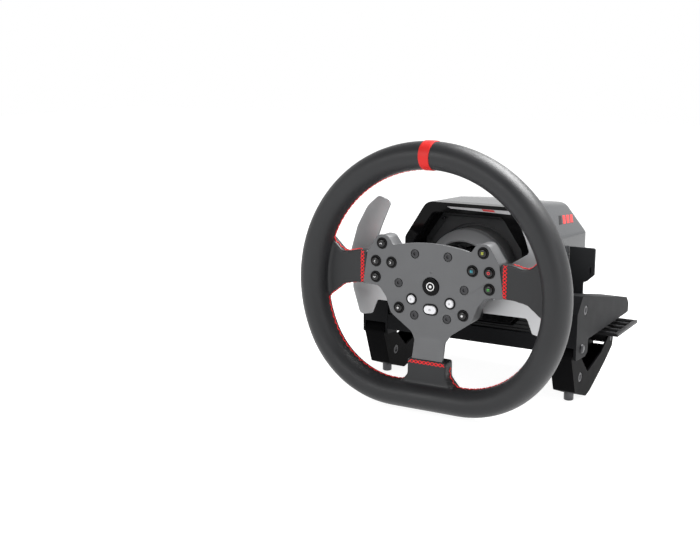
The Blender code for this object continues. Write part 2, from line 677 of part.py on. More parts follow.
def build_clamp(side, sign):
    low, high = sign * CHEEK_IN / MM, sign * CHEEK_OUT / MM
    cheek = rounded(CHEEK_SIDE)
    bracket = add_mesh(f"clamp_bracket_{side}", prism(cheek, "yz", low, high), DARK)
    room = [(-86, -40, 0), (-86, 31.4, 1.5), (-72, 46, 2), (75, 16.6, 4), (140, 4, 0), (140, -40, 0)]
    boolean(bracket, cutter(prism(rounded(room), "yz", low + sign * 2, high - sign * 2), "bracket_room"))
    window = rounded([(low + sign * 2.8, -30, 0), (low + sign * 2.8, -2.3, 0.3), (high - sign * 2.8, -2.3, 0.3),
                      (high - sign * 2.8, -30, 0)])
    window_bm = bmesh.new()
    front = [window_bm.verts.new((u * MM, -95 * MM, v * MM)) for u, v in window]
    back = [window_bm.verts.new((u * MM, -80 * MM, v * MM)) for u, v in window]
    window_bm.faces.new(front)
    window_bm.faces.new(reversed(back))
    for i in range(len(window)):
        j = (i + 1) % len(window)
        window_bm.faces.new((front[i], back[i], back[j], front[j]))
    boolean(bracket, cutter(window_bm, "window"))
    bores = bmesh.new()
    hole_x(bores, PIVOT, PIN_R + GAP, low - sign * 5, high + sign * 5, 12)
    hole_x(bores, NUT, BARREL_R + GAP, low - sign * 5, high + sign * 5)
    boolean(bracket, cutter(bores, "bores"))

    pin = hole_x(bmesh.new(), PIVOT, PIN_R, low - sign * 0.2, high + sign * 0.6, 12)
    add_mesh(f"pivot_pin_{side}", pin, STEEL)
    build_arm(side, sign)

    for name, centre in ((f"clamp_seat_{side}", SEAT), (f"clamp_nut_{side}", NUT)):
        reach = (ARM_HALF if "seat" in name else (CHEEK_OUT - CHEEK_IN) / 2) - 0.2 * MM
        barrel = hole_x(bmesh.new(), centre, BARREL_R, (sign * ARM_X - reach) / MM, (sign * ARM_X + reach) / MM)
        obj = add_mesh(name, barrel, STEEL, location=(sign * ARM_X, *centre))
        thread = cylinder(bmesh.new(), screw_point(sign, -20), screw_point(sign, 120), SCREW_R + GAP, 12)
        boolean(obj, cutter(thread, "thread"))

    screw = cylinder(bmesh.new(), screw_point(sign, 0.5), screw_point(sign, SCREW_LENGTH), SCREW_R, 12)
    obj = add_mesh(f"clamp_screw_{side}", screw, STEEL, location=screw_point(sign, 0))
    head = cylinder(bmesh.new(), screw_point(sign, -5.5), screw_point(sign, 4.5), SCREW_HEAD_R, 20)
    boolean(obj, cutter(head, "head"), "UNION")
    hexagon = cylinder(bmesh.new(), screw_point(sign, -8), screw_point(sign, -1.5), 2.6 * MM, 6)
    boolean(obj, cutter(hexagon, "hex_socket"))
    build_pad(side, sign)


def build_arm(side, sign):
    """Trough-shaped arm, open on top, with bores for its pin, the seat barrel and the pad's trunnion."""
    inner, outer = sign * (ARM_X - ARM_HALF) / MM, sign * (ARM_X + ARM_HALF) / MM
    arm = add_mesh(f"clamp_arm_{side}", prism(rounded(arm_outline()), "yz", inner, outer), BLACK,
                   location=(sign * ARM_X, *PIVOT))
    room = [(-89, -12, 2), (-80.5, -3.2, 2), (-80.5, 30, 0), (60, 30, 0), (60, -29, 0), (42, -29, 3),
            (17, -39.8, 8), (-29.6, -58.8, 5), (-41, -61, 4), (-74.2, -49, 3)]
    boolean(arm, cutter(prism(rounded(room), "yz", inner + sign * 2, outer - sign * 2), "arm_room"))
    holes = bmesh.new()
    hole_x(holes, PIVOT, PIN_R + GAP, inner - sign * 5, outer + sign * 5, 12)
    hole_x(holes, SEAT, BARREL_R + GAP, inner - sign * 5, outer + sign * 5)
    hole_x(holes, PAD_PIVOT, TRUNNION_R + GAP, inner - sign * 5, outer + sign * 5, 12)
    boolean(arm, cutter(holes, "bores"))
    boolean(arm, cutter(screw_slot(sign), "screw_slot"))


def screw_slot(sign):
    """Upright slot in the arm's floor, long enough for the screw's head to swing back as the clamp opens."""
    bm = bmesh.new()
    radius = SCREW_HEAD_R + 0.5 * MM
    swing = 4 * MM
    low = screw_point(sign, -22)
    high = screw_point(sign, 9)
    outline = []
    for k in range(17):
        angle = math.pi + math.pi * k / 16
        outline.append((radius * math.cos(angle), radius * math.sin(angle)))
    outline += [(-x, swing - y) for x, y in outline]
    rings = [[bm.verts.new(end + Vector((x, y, 0))) for x, y in outline] for end in (low, high)]
    bm.faces.new(rings[0])
    bm.faces.new(reversed(rings[1]))
    for i in range(len(outline)):
        j = (i + 1) % len(outline)
        bm.faces.new((rings[0][i], rings[1][i], rings[1][j], rings[0][j]))
    return bm


def screw_axis():
    """Unit vector (y, z) from the clamp screw's head to its nut."""
    along = Vector((NUT[0] - SCREW_HEAD[0], NUT[1] - SCREW_HEAD[1]))
    return along.normalized()


def screw_point(sign, along_mm):
    axis = screw_axis()
    return Vector((sign * ARM_X, SCREW_HEAD[0] + axis.x * along_mm * MM, SCREW_HEAD[1] + axis.y * along_mm * MM))


SEAT = tuple(screw_point(1, SEAT_ALONG)[1:])


def build_pad(side, sign):
    """Ladder-shaped foot that presses up under the desk, hinged in the arm's tip."""
    centre = sign * ARM_X / MM
    bm = box(bmesh.new(), ((centre - 27) * MM, 9 * MM, -10.6 * MM), ((centre + 27) * MM, 81 * MM, -7.4 * MM))
    pad = add_mesh(f"pressure_pad_{side}", bm, BLACK, location=(sign * ARM_X, *PAD_PIVOT))
    room = bmesh.new()
    for row in range(4):
        y = 15 + row * 16
        for bar in (-1, 1):
            x = centre + bar * 13.5
            box(room, ((x - 9.5) * MM, y * MM, -20 * MM), ((x + 9.5) * MM, (y + 10) * MM, 0))
    boolean(pad, cutter(room, "ladder"))
    y, z = PAD_PIVOT
    lug = box(bmesh.new(), ((centre - 9) * MM, y - 4 * MM, z - 4 * MM), ((centre + 9) * MM, y + 4 * MM, -8 * MM))
    boolean(pad, cutter(lug, "lug"), "UNION")
    trunnion = hole_x(bmesh.new(), PAD_PIVOT, TRUNNION_R, centre - 11.3, centre + 11.3, 12)
    boolean(pad, cutter(trunnion, "trunnion"), "UNION")


def main():
    clear_scene()
    build_rim()
    build_stripe()
    build_hub()
    build_buttons()
    build_paddles()
    build_quick_release()
    build_column()
    build_drive()
    build_housing()
    build_deck()
    for side, sign in (("right", 1), ("left", -1)):
        build_clamp(side, sign)


main()
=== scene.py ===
"""Looks of the desk racing wheel: leather, lacing, keys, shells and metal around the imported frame.

Metres, +Z up. X is the driver's right and +Y points away from the driver. Most sizes below are
millimetres from the hub: the centre of the hub plate's face, on the steering axis.
"""

import json
from math import atan2, cos, pi, radians, sin, sqrt, tan

import bmesh
import bpy
from mathutils import Matrix, Vector
from mathutils.bvhtree import BVHTree

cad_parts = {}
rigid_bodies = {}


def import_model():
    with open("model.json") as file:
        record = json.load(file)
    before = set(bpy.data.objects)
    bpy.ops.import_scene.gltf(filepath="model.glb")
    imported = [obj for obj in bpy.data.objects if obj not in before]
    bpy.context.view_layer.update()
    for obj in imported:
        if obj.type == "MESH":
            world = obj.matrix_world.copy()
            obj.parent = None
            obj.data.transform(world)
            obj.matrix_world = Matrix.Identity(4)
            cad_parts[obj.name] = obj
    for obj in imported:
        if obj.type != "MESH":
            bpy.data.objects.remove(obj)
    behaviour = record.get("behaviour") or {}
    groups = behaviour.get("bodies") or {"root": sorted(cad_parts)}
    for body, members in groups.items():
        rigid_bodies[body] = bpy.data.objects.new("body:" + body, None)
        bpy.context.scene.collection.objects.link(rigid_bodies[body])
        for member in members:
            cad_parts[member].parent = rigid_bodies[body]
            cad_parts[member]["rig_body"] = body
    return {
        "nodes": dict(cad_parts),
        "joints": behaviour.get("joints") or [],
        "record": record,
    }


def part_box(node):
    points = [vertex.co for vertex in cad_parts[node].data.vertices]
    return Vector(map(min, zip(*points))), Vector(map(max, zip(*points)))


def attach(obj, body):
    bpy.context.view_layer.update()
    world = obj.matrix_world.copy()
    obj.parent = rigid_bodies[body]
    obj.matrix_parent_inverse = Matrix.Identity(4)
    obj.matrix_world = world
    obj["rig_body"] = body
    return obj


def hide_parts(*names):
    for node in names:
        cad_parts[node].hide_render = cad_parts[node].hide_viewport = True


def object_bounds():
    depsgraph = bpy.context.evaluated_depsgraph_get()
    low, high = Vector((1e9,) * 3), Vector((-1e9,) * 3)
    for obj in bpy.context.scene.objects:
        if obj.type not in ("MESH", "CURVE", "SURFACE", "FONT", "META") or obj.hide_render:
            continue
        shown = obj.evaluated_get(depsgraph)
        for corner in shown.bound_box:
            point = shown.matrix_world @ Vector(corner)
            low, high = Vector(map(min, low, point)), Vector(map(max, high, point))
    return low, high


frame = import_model()
CAD_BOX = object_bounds()
SLOTS = {part["node"]: part["material_slot"] for part in frame["record"]["subparts"]}
JOINTS = {joint["name"]: joint for joint in frame["joints"]}

MM = 0.001
WELD = 1e-7
BADGE_LOW, BADGE_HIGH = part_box("hub_badge")
BADGE_STAND = 1.2 * MM
HUB = Vector((0, BADGE_LOW.y + BADGE_STAND, (BADGE_LOW.z + BADGE_HIGH.z) / 2))
SIDES = (("right", 1), ("left", -1))
BACKWARDS = (0, 1, 0)
FORWARDS = (0, -1, 0)


# ---- places and shapes

def hub(x, y, z):
    """A point given in millimetres from the hub."""
    return HUB + Vector((x, y, z)) * MM


def world(x, y, z):
    """A point given in millimetres in the frame."""
    return Vector((x, y, z)) * MM


def rounded(corners, steps=8):
    """Closed outline from (u, v, radius) corners, each corner turned into an arc."""
    points = []
    count = len(corners)
    for i, (u, v, radius) in enumerate(corners):
        here = Vector((u, v))
        before = Vector(corners[i - 1][:2]) - here
        after = Vector(corners[(i + 1) % count][:2]) - here
        if radius <= 0:
            points.append(here)
            continue
        half = before.angle(after) / 2
        reach = min(radius / tan(half), 0.49 * before.length, 0.49 * after.length)
        radius = reach * tan(half)
        middle = here + (before.normalized() + after.normalized()).normalized() * (radius / sin(half))
        start = here + before.normalized() * reach - middle
        end = here + after.normalized() * reach - middle
        sweep = start.angle_signed(end)
        for k in range(steps + 1):
            points.append(middle + Matrix.Rotation(-sweep * k / steps, 2) @ start)
    return points


def flipped(corners):
    """Corner list of the other side, in the opposite order."""
    return [(-u, v, r) for u, v, r in reversed(corners)]


def mirrored(half):
    """Right half of a corner list, top to bottom, completed with its mirror image."""
    return half + flipped(half)


def bridge(bm, loops):
    """Faces between neighbouring loops of equal length."""
    for a, b in zip(loops, loops[1:]):
        for i in range(len(a)):
            j = (i + 1) % len(a)
            bm.faces.new((a[i], b[i], b[j], a[j]))


def skin(rings, closed_ends=True):
    """Solid through a row of equal rings of points."""
    bm = bmesh.new()
    loops = [[bm.verts.new(p) for p in ring] for ring in rings]
    bridge(bm, loops)
    if closed_ends:
        bm.faces.new(loops[0])
        bm.faces.new(reversed(loops[-1]))
    return bm


def slab(outline, low, high):
    """Prism of an (x, z) outline in millimetres from the hub, between two depths."""
    return skin([[hub(u, depth, v) for u, v in outline] for depth in (low, high)])


def block(low, high):
    """Box between two corners."""
    bm = bmesh.new()
    low, high = Vector(low), Vector(high)
    matrix = Matrix.Translation((low + high) / 2) @ Matrix.Diagonal((*(high - low), 1))
    bmesh.ops.create_cube(bm, size=1, matrix=matrix)
    return bm


def turned(profile, start, axis, segments=64, ripple=None):
    """Solid of revolution from (radius, along) millimetres about the line from start along axis.

    A third value in a profile point lets the ripple, a function of the angle, add to its radius.
    """
    turn = Vector(axis).normalized().to_track_quat("Z", "Y").to_matrix()
    closed = profile[0][0] > 0.001
    bm = bmesh.new()
    rings = []
    for k in range(segments):
        angle = 2 * pi * k / segments
        grow = ripple(angle) if ripple else 0.0
        ring = []
        for radius, along, *moves in profile:
            r = radius + (grow if moves else 0.0)
            local = Vector((r * cos(angle), r * sin(angle), along)) * MM
            ring.append(bm.verts.new(Vector(start) + turn @ local))
        rings.append(ring)
    count = len(profile)
    for k in range(segments):
        a, b = rings[k], rings[(k + 1) % segments]
        for i in range(count if closed else count - 1):
            j = (i + 1) % count
            if profile[i][0] < 0.001 and profile[j][0] < 0.001:
                continue
            bm.faces.new((a[i], b[i], b[j], a[j]))
    bmesh.ops.remove_doubles(bm, verts=bm.verts, dist=WELD)
    flat = [f for f in bm.faces if f.calc_area() < 1e-14]
    bmesh.ops.delete(bm, geom=flat, context="FACES_ONLY")
    return bm


def as_mesh(name, bm):
    """Mesh of a bmesh, which is freed."""
    mesh = bpy.data.meshes.new(name)
    bm.to_mesh(mesh)
    bm.free()
    return mesh


def placed(name, data):
    """New object in the scene."""
    obj = bpy.data.objects.new(name, data)
    bpy.context.scene.collection.objects.link(obj)
    return obj


def piece(name, bm, mat, body, nodes=(), bevel=0.0, smooth=40, segments=2):
    """Finishes a mesh: object, material, softened edges, and its place in the frame."""
    bmesh.ops.remove_doubles(bm, verts=bm.verts, dist=WELD)
    bmesh.ops.recalc_face_normals(bm, faces=bm.faces)
    mesh = as_mesh(name, bm)
    mesh.shade_smooth()
    mesh.set_sharp_from_angle(angle=radians(smooth))
    mesh.materials.append(mat)
    obj = placed(name, mesh)
    if bevel:
        soften(obj, bevel, segments)
    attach(obj, body)
    if nodes:
        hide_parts(*nodes)
    return obj


def soften(obj, width, segments):
    """Rounds the edges of a piece, width in millimetres."""
    mod = obj.modifiers.new("edges", "BEVEL")
    mod.width = width * MM
    mod.segments = segments
    mod.limit_method = "ANGLE"
    mod.angle_limit = radians(32)
    mod.use_clamp_overlap = False
    mod.harden_normals = True


def temporary(bm):
    """Helper object for a boolean, removed again by combined()."""
    bmesh.ops.recalc_face_normals(bm, faces=bm.faces)
    return placed("temporary", as_mesh("temporary", bm))


def combined(bm, others, operation="DIFFERENCE"):
    """The solid bm with each of the others taken away or added, as a new bmesh."""
    obj = temporary(bm)
    helpers = [temporary(other) for other in others]
    for helper in helpers:
        mod = obj.modifiers.new("step", "BOOLEAN")
        mod.operation = operation
        mod.object = helper
    bpy.context.view_layer.update()
    shaped = obj.evaluated_get(bpy.context.evaluated_depsgraph_get())
    result = bmesh.new()
    result.from_mesh(shaped.to_mesh())
    shaped.to_mesh_clear()
    for helper in (obj, *helpers):
        bpy.data.objects.remove(helper, do_unlink=True)
    return result


def refined(node, mat, bevel):
    """The CAD node's own shape with merged facets and softened edges."""
    bm = bmesh.new()
    bm.from_mesh(frame["nodes"][node].data)
    bmesh.ops.remove_doubles(bm, verts=bm.verts, dist=1e-6)
    bmesh.ops.dissolve_limit(bm, angle_limit=radians(0.3), verts=bm.verts, edges=bm.edges)
    body = frame["nodes"][node]["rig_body"]
    piece(f"{node}_finished", bm, mat, body, [node], bevel)


# ---- materials

def add(tree, kind, inputs=None, **settings):
    """New shader node. An input is a value, or the socket that feeds it."""
    node = tree.nodes.new(f"ShaderNode{kind}")
    for key, value in settings.items():
        setattr(node, key, value)
    for key, value in (inputs or {}).items():
        if isinstance(value, bpy.types.NodeSocket):
            tree.links.new(value, node.inputs[key])
        else:
            node.inputs[key].default_value = value
    return node


def shader(name, colour, roughness, metallic=0.0, specular=0.5, sheen=0.0):
    """Plain material, its node tree and shader, and the coordinates of its patterns."""
    mat = bpy.data.materials.new(name)
    mat.use_nodes = True
    tree = mat.node_tree
    principled = tree.nodes["Principled BSDF"]
    values = {"Base Color": (*colour, 1), "Roughness": roughness, "Metallic": metallic,
              "Specular IOR Level": specular, "Sheen Weight": sheen}
    for key, value in values.items():
        principled.inputs[key].default_value = value
    return mat, tree, principled, add(tree, "TexCoord").outputs["Object"]


def noise(tree, where, scale, detail, stretch=None):
    """Cloudy pattern with scale cells in a metre, stretched along the axes if asked."""
    if stretch:
        where = add(tree, "Mapping", {"Scale": stretch, "Vector": where}).outputs["Vector"]
    return add(tree, "TexNoise", {"Scale": scale, "Detail": detail, "Vector": where}).outputs["Fac"]


def spread(tree, value, low, high):
    """Maps a 0 to 1 pattern to the range low to high."""
    inputs = {"From Min": 0.3, "From Max": 0.7, "To Min": low, "To Max": high, "Value": value}
    return add(tree, "MapRange", inputs).outputs["Result"]


def tint(tree, principled, value, colour, amount):
    """Varies the base colour by a share amount up and down with a pattern."""
    dark, light = (tuple(c * (1 + share) for c in colour) for share in (-amount, amount))
    mix = add(tree, "Mix", {"Factor": value, 6: (*dark, 1), 7: (*light, 1)}, data_type="RGBA")
    tree.links.new(mix.outputs[2], principled.inputs["Base Color"])


def relief(tree, principled, height, depth_mm, strength=1.0):
    """Lets a pattern raise the surface."""
    bump = add(tree, "Bump", {"Distance": depth_mm * MM, "Strength": strength, "Height": height})
    tree.links.new(bump.outputs["Normal"], principled.inputs["Normal"])


def finish(name, colour, roughness, metallic=0.0, grain_mm=0.4, depth_mm=0.02, vary=0.12,
           rough_vary=0.06, specular=0.5, stretch=None):
    """Moulded, painted or machined finish: a fine grain, and slow changes of tone and gloss."""
    mat, tree, principled, where = shader(name, colour, roughness, metallic, specular)
    slow = noise(tree, where, 22.0, 4.0)
    tint(tree, principled, slow, colour, vary)
    fine = noise(tree, where, 1 / (grain_mm * MM), 2.0, stretch)
    gloss = noise(tree, where, 60.0, 5.0, stretch)
    rough = spread(tree, gloss, roughness - rough_vary, roughness + rough_vary)
    tree.links.new(rough, principled.inputs["Roughness"])
    relief(tree, principled, fine, depth_mm)
    return mat


def leather(name, colour, roughness):
    """Pebbled leather: small cells with creases between them and pores inside."""
    mat, tree, principled, where = shader(name, colour, roughness, specular=0.35)
    warp = add(tree, "TexNoise", {"Scale": 300, "Vector": where}).outputs["Color"]
    bend = add(tree, "Mix", {"Factor": 0.0012, 4: where, 5: warp}, data_type="VECTOR").outputs[1]
    cells = add(tree, "TexVoronoi", {"Scale": 820, "Vector": bend}, feature="DISTANCE_TO_EDGE")
    crease = add(tree, "MapRange", {"From Max": 0.16, "Value": cells.outputs["Distance"]})
    pores = noise(tree, where, 2600.0, 2.0)
    height = add(tree, "Math", {0: pores, 1: 0.35, 2: crease.outputs["Result"]},
                 operation="MULTIPLY_ADD")
    relief(tree, principled, height.outputs[0], 0.05, 0.7)
    slow = noise(tree, where, 30.0, 4.0)
    tint(tree, principled, slow, colour, 0.14)
    wear = noise(tree, where, 18.0, 3.0)
    rough = spread(tree, wear, roughness - 0.05, roughness + 0.07)
    tree.links.new(rough, principled.inputs["Roughness"])
    return mat


def thread_finish(name, colour):
    """Twisted thread: fine slanting ridges."""
    mat, tree, principled, where = shader(name, colour, 0.6, specular=0.3, sheen=0.1)
    wave = add(tree, "TexWave", {"Scale": 900, "Vector": where}, bands_direction="DIAGONAL")
    relief(tree, principled, wave.outputs["Fac"], 0.05, 0.6)
    tint(tree, principled, wave.outputs["Fac"], colour, 0.2)
    return mat


LEATHER = leather("black_leather", (0.016, 0.0165, 0.018), 0.4)
RED_LEATHER = leather("red_leather", (0.6, 0.011, 0.009), 0.5)
THREAD = thread_finish("red_thread", (0.8, 0.016, 0.02))
GUNMETAL = finish("blasted_gunmetal", (0.11, 0.112, 0.116), 0.5, 0.3, grain_mm=0.25, depth_mm=0.01,
                  vary=0.05)
SATIN = finish("satin_aluminium", (0.5, 0.505, 0.515), 0.34, 0.5, grain_mm=0.2, depth_mm=0.006,
               vary=0.04)
CASTING = finish("cast_case", (0.12, 0.122, 0.126), 0.42, 0.35, grain_mm=0.25, depth_mm=0.01,
                 vary=0.05)
STEEL = finish("turned_steel", (0.42, 0.42, 0.44), 0.3, 1.0, grain_mm=0.3, depth_mm=0.006,
               stretch=(1, 12, 1))
SCREW_STEEL = finish("screw_steel", (0.07, 0.07, 0.074), 0.32, 0.8, grain_mm=0.3, depth_mm=0.006)
DARK_STEEL = finish("blackened_steel", (0.05, 0.05, 0.053), 0.35, 0.8, grain_mm=0.3, depth_mm=0.008)
BLACK = finish("black_plastic", (0.007, 0.007, 0.0075), 0.42, grain_mm=0.35, depth_mm=0.012,
               specular=0.22)
GLOSS = finish("gloss_black", (0.002, 0.002, 0.0022), 0.12, grain_mm=6.0, depth_mm=0.008, vary=0.05,
               rough_vary=0.03, specular=0.12)
KEY = finish("key_black", (0.004, 0.004, 0.0045), 0.2, grain_mm=1.0, depth_mm=0.004,
             rough_vary=0.05, specular=0.45)
WHITE = finish("white_plastic", (0.7, 0.7, 0.72), 0.36, grain_mm=0.5, depth_mm=0.006, vary=0.03)
SHEET = finish("dark_powder_coat", (0.009, 0.0093, 0.0102), 0.5, grain_mm=0.45, depth_mm=0.01,
               vary=0.06, rough_vary=0.02, specular=0.05)
# Lighter copy of the dark powder coat, for the same sheet: painted light on the front-facing cradle plate.
CRADLE_LIGHTER_COAT = finish("powder_coat_painted_lighter", (0.03, 0.031, 0.033), 0.5, grain_mm=0.45, depth_mm=0.01,
                vary=0.06, rough_vary=0.02, specular=0.12)
ARM_BLACK = finish("black_powder_coat", (0.0028, 0.0028, 0.0031), 0.5, grain_mm=0.45, depth_mm=0.01,
                   rough_vary=0.02, specular=0.02)
SHELL = finish("grey_shell_paint", (0.05, 0.052, 0.055), 0.24, 0.05, grain_mm=0.3, depth_mm=0.0015,
               vary=0.02, rough_vary=0.008, specular=0.25)
PANEL = finish("panel_plastic", (0.04, 0.041, 0.043), 0.5, grain_mm=0.5, depth_mm=0.015,
               specular=0.3)
CONE = finish("cone_plastic", (0.2, 0.204, 0.21), 0.4, 0.2, grain_mm=0.4, depth_mm=0.01)
RUBBER = finish("matt_rubber", (0.012, 0.012, 0.013), 0.75, grain_mm=0.6, depth_mm=0.03, specular=0.25)
BOARD = finish("solder_mask", (0.01, 0.08, 0.03), 0.4, grain_mm=1.5, depth_mm=0.02)
ZINC = finish("zinc_case", (0.16, 0.16, 0.17), 0.4, 0.8, grain_mm=0.5, depth_mm=0.01)
RED_PAINT = finish("red_paint", (0.55, 0.015, 0.015), 0.35, grain_mm=0.5, depth_mm=0.006)
GLYPHS = {place: finish(f"{hue}_mark", colour, 0.4, vary=0.05) for place, hue, colour in (
    ("top", "yellow", (0.55, 0.6, 0.05)), ("left", "cyan", (0.03, 0.45, 0.55)),
    ("right", "red", (0.6, 0.03, 0.04)), ("bottom", "green", (0.06, 0.5, 0.06)))}
# Light grey with strong tone changes: a painted reflection, standing in for the highlight along the
# bezel's upper inner face.
BEZEL_REFLECTION_PAINT = finish("painted_bezel_reflection", (0.45, 0.45, 0.46), 0.25, grain_mm=0.6, depth_mm=0.004, vary=0.25)
MARK = finish("white_mark", (0.8, 0.8, 0.8), 0.4, vary=0.03)
GREY_MARK = finish("grey_mark", (0.2, 0.2, 0.21), 0.4, vary=0.03)
BY_SLOT = {
    "leather": LEATHER, "red_band": RED_LEATHER, "gunmetal": GUNMETAL, "silver_metal": SATIN,
    "steel": STEEL, "black_plastic": BLACK, "gloss_black": GLOSS, "white_plastic": WHITE,
    "dark_sheet": SHEET, "dark_panel": PANEL, "grey_shell": SHELL, "circuit_board": BOARD,
    "rubber": RUBBER, "motor_case": ZINC,
}


def paint_frame():
    """Every CAD node takes the finish of its slot."""
    for node, obj in frame["nodes"].items():
        obj.data.materials.clear()
        obj.data.materials.append(BY_SLOT[SLOTS[node]])


# ---- the rim

RIM_RADIUS = 129.0
RIM_DROP = 3.0
RIM_FLAT = 109.4
RIM_CORNER = 90.0
RIM_RADIAL = 13.5
RIM_DEPTH = 17.0
RIM_SET = -3.5
SPOKE_SIDE = [(70.6, 28.4, 1.5), (83, 28.5, 8), (98, 24.5, 9), (112, 38, 0), (126, 34, 0),
              (127, -14, 0), (116, -22, 0), (98, -7.5, 9), (83, -4.6, 6), (70.6, -4.2, 1.5)]
SPOKE_BOTTOM = [(-20.5, -71.6, 1.2), (20.5, -71.6, 1.2), (20.5, -88, 7), (29, -97.5, 0), (28, -108, 0),
                (-28, -108, 0), (-29, -97.5, 0), (-20.5, -88, 7)]
STRIPE_HALF = 5.3
PATH_STEPS = 220
SPOKE_FRONT = 0.4
SEAM_DEPTH = 3.0
STITCH_PITCH = 3.3 * MM
STITCH_LEAN = 1.4 * MM
STITCH_RADIUS = 0.6 * MM
LACES = 9
LACE_RADIUS = 0.5 * MM
LACE_RISE = 0.55 * MM


def rim_path():
    """Centre line of the rim as (x, z, outward normal): round top, tighter lower corners, flat bottom."""
    inner = RIM_RADIUS - RIM_CORNER
    rise = RIM_DROP - RIM_FLAT + RIM_CORNER
    side = sqrt(inner**2 - rise**2)
    tangent = atan2(rise, side)
    around = 2 * pi * RIM_RADIUS
    arcs = [
        (RIM_RADIUS, 0.0, -RIM_DROP, tangent, pi - tangent),
        (RIM_CORNER, -side, RIM_CORNER - RIM_FLAT, pi - tangent, 1.5 * pi),
        (RIM_CORNER, side, RIM_CORNER - RIM_FLAT, -0.5 * pi, tangent),
    ]
    path = []
    for number, (radius, cx, cz, begin, end) in enumerate(arcs):
        count = round((end - begin) * radius / around * PATH_STEPS)
        if number == 2:
            flat = round(2 * side / around * PATH_STEPS)
            down = Vector((0, -1))
            path += [(-side + 2 * side * k / flat, -RIM_FLAT, down) for k in range(flat)]
        for k in range(count):
            angle = begin + (end - begin) * k / count
            normal = Vector((cos(angle), sin(angle)))
            path.append((cx + radius * normal.x, cz + radius * normal.y, normal))
    return path


def rim_ring(x, z, normal, grow=0.0, segments=36):
    """One elliptic section of the grip."""
    ring = []
    for k in range(segments):
        angle = 2 * pi * k / segments
        radial = (RIM_RADIAL + grow) * cos(angle)
        depth = (RIM_DEPTH + grow) * sin(angle)
        ring.append(hub(x + normal.x * radial, RIM_SET + depth, z + normal.y * radial))
    return ring


def build_grip():
    """Leather grip with its spoke sleeves, blended into one soft skin by a remesh and a smoothing pass."""
    rings = [rim_ring(*place) for place in rim_path()]
    body = skin(rings + rings[:1], closed_ends=False)
    bmesh.ops.remove_doubles(body, verts=body.verts, dist=WELD)
    sleeves = [slab(rounded(SPOKE_SIDE), SPOKE_FRONT, 12),
               slab(rounded(flipped(SPOKE_SIDE)), SPOKE_FRONT, 12),
               slab(rounded(SPOKE_BOTTOM), -8, 9.5)]
    whole = combined(body, sleeves, "UNION")
    grip = piece("leather_grip", whole, LEATHER, "wheel", ["rim_grip"])
    remesh = grip.modifiers.new("skin", "REMESH")
    remesh.mode = "VOXEL"
    remesh.voxel_size = 1.35 * MM
    remesh.use_smooth_shade = True
    relax = grip.modifiers.new("relax", "SMOOTH")
    relax.factor = 0.5
    relax.iterations = 9
    bpy.context.view_layer.update()
    shaped = grip.evaluated_get(bpy.context.evaluated_depsgraph_get())
    final = bpy.data.meshes.new_from_object(shaped)
    grip.modifiers.clear()
    grip.data = final
    final.shade_smooth()
    if not final.materials:
        final.materials.append(LEATHER)
    return grip


def build_stripe():
    """Red marker band laid round the grip at twelve o'clock, its edges turned down to the leather."""
    outside = [(-1.0, 0.2), (-0.97, 0.6), (-0.9, 0.7), (-0.5, 0.75), (0.0, 0.75), (0.5, 0.75),
               (0.9, 0.7), (0.97, 0.6), (1.0, 0.2)]
    sections = [(along, grow - 0.1) for along, grow in outside] + [(1.0, -0.4), (-1.0, -0.4)]
    rings = []
    for along, grow in sections:
        angle = pi / 2 - along * STRIPE_HALF / RIM_RADIUS
        normal = Vector((cos(angle), sin(angle)))
        x, z = RIM_RADIUS * normal.x, RIM_RADIUS * normal.y - RIM_DROP
        rings.append(rim_ring(x, z, normal, grow, 72))
    band = skin(rings + rings[:1], closed_ends=False)
    piece("red_centre_band", band, RED_LEATHER, "wheel", ["centre_stripe"])


def add_thread(bm, start, end, normal, radius, rise):
    """One stitch: a round thread that leaves the leather, arches over it and goes back in."""
    steps, sides = 6, 7
    along = (end - start).normalized()
    across = normal.cross(along).normalized()
    rings = []
    for k in range(steps + 1):
        t = k / steps
        lift = rise * (1 - (2 * t - 1) ** 4) - radius * 0.6
        centre = start.lerp(end, t) + normal * lift
        size = radius * (0.55 if k in (0, steps) else 1.0)
        ring = []
        for i in range(sides):
            angle = 2 * pi * i / sides
            outward = across * cos(angle) + normal * sin(angle)
            ring.append(bm.verts.new(centre + outward * size))
        rings.append(ring)
    bridge(bm, rings)
    bm.faces.new(reversed(rings[0]))
    bm.faces.new(rings[-1])


def evenly(points, pitch):
    """Points at equal steps along a polyline."""
    out = [points[0]]
    left = pitch
    for a, b in zip(points, points[1:]):
        length = (b - a).length
        done = 0.0
        while length - done >= left:
            done += left
            out.append(a.lerp(b, done / length))
            left = pitch
        left -= length - done
    return out


def window_path(window):
    """Edge line of one opening of the rim, from spoke to spoke, in (x, depth, z) from the hub."""
    edge = [(x - normal.x * RIM_RADIAL, z - normal.y * RIM_RADIAL) for x, z, normal in rim_path()]
    seam = RIM_SET + SEAM_DEPTH
    if window == "upper":
        arc = [(x, seam, z) for x, z in edge if z > 40]
        arc.sort(key=lambda p: -atan2(p[2] + RIM_DROP, p[0]))
        spoke = [(108.5, 4.0, 35), (103.5, 5.5, 28.6), (98, 6.0, 26), (92, 6.2, 26.4),
                 (84, 6.2, 28.3), (78.5, 6.2, 28.6)]
        return [(-x, d, z) for x, d, z in reversed(spoke)] + arc + spoke
    sign = 1 if window == "right" else -1
    arc = [(x, seam, z) for x, z in edge if z < -25 and x * sign > 33]
    arc.sort(key=lambda p: -atan2(p[2] + 20, p[0] * sign))
    side = [(78.5, 6.2, -4.6), (84, 6.2, -4.8), (92, 6.2, -6), (98, 6, -7.2), (106, 5.5, -13.5),
            (111.5, 3, -19)]
    foot = [(30, 1.5, -95.9), (25, 2.5, -94), (21.5, 3, -90), (20.4, 3, -84), (20, 3, -77.5)]
    return [(sign * x, d, z) for x, d, z in side] + arc + [(sign * x, d, z) for x, d, z in foot]


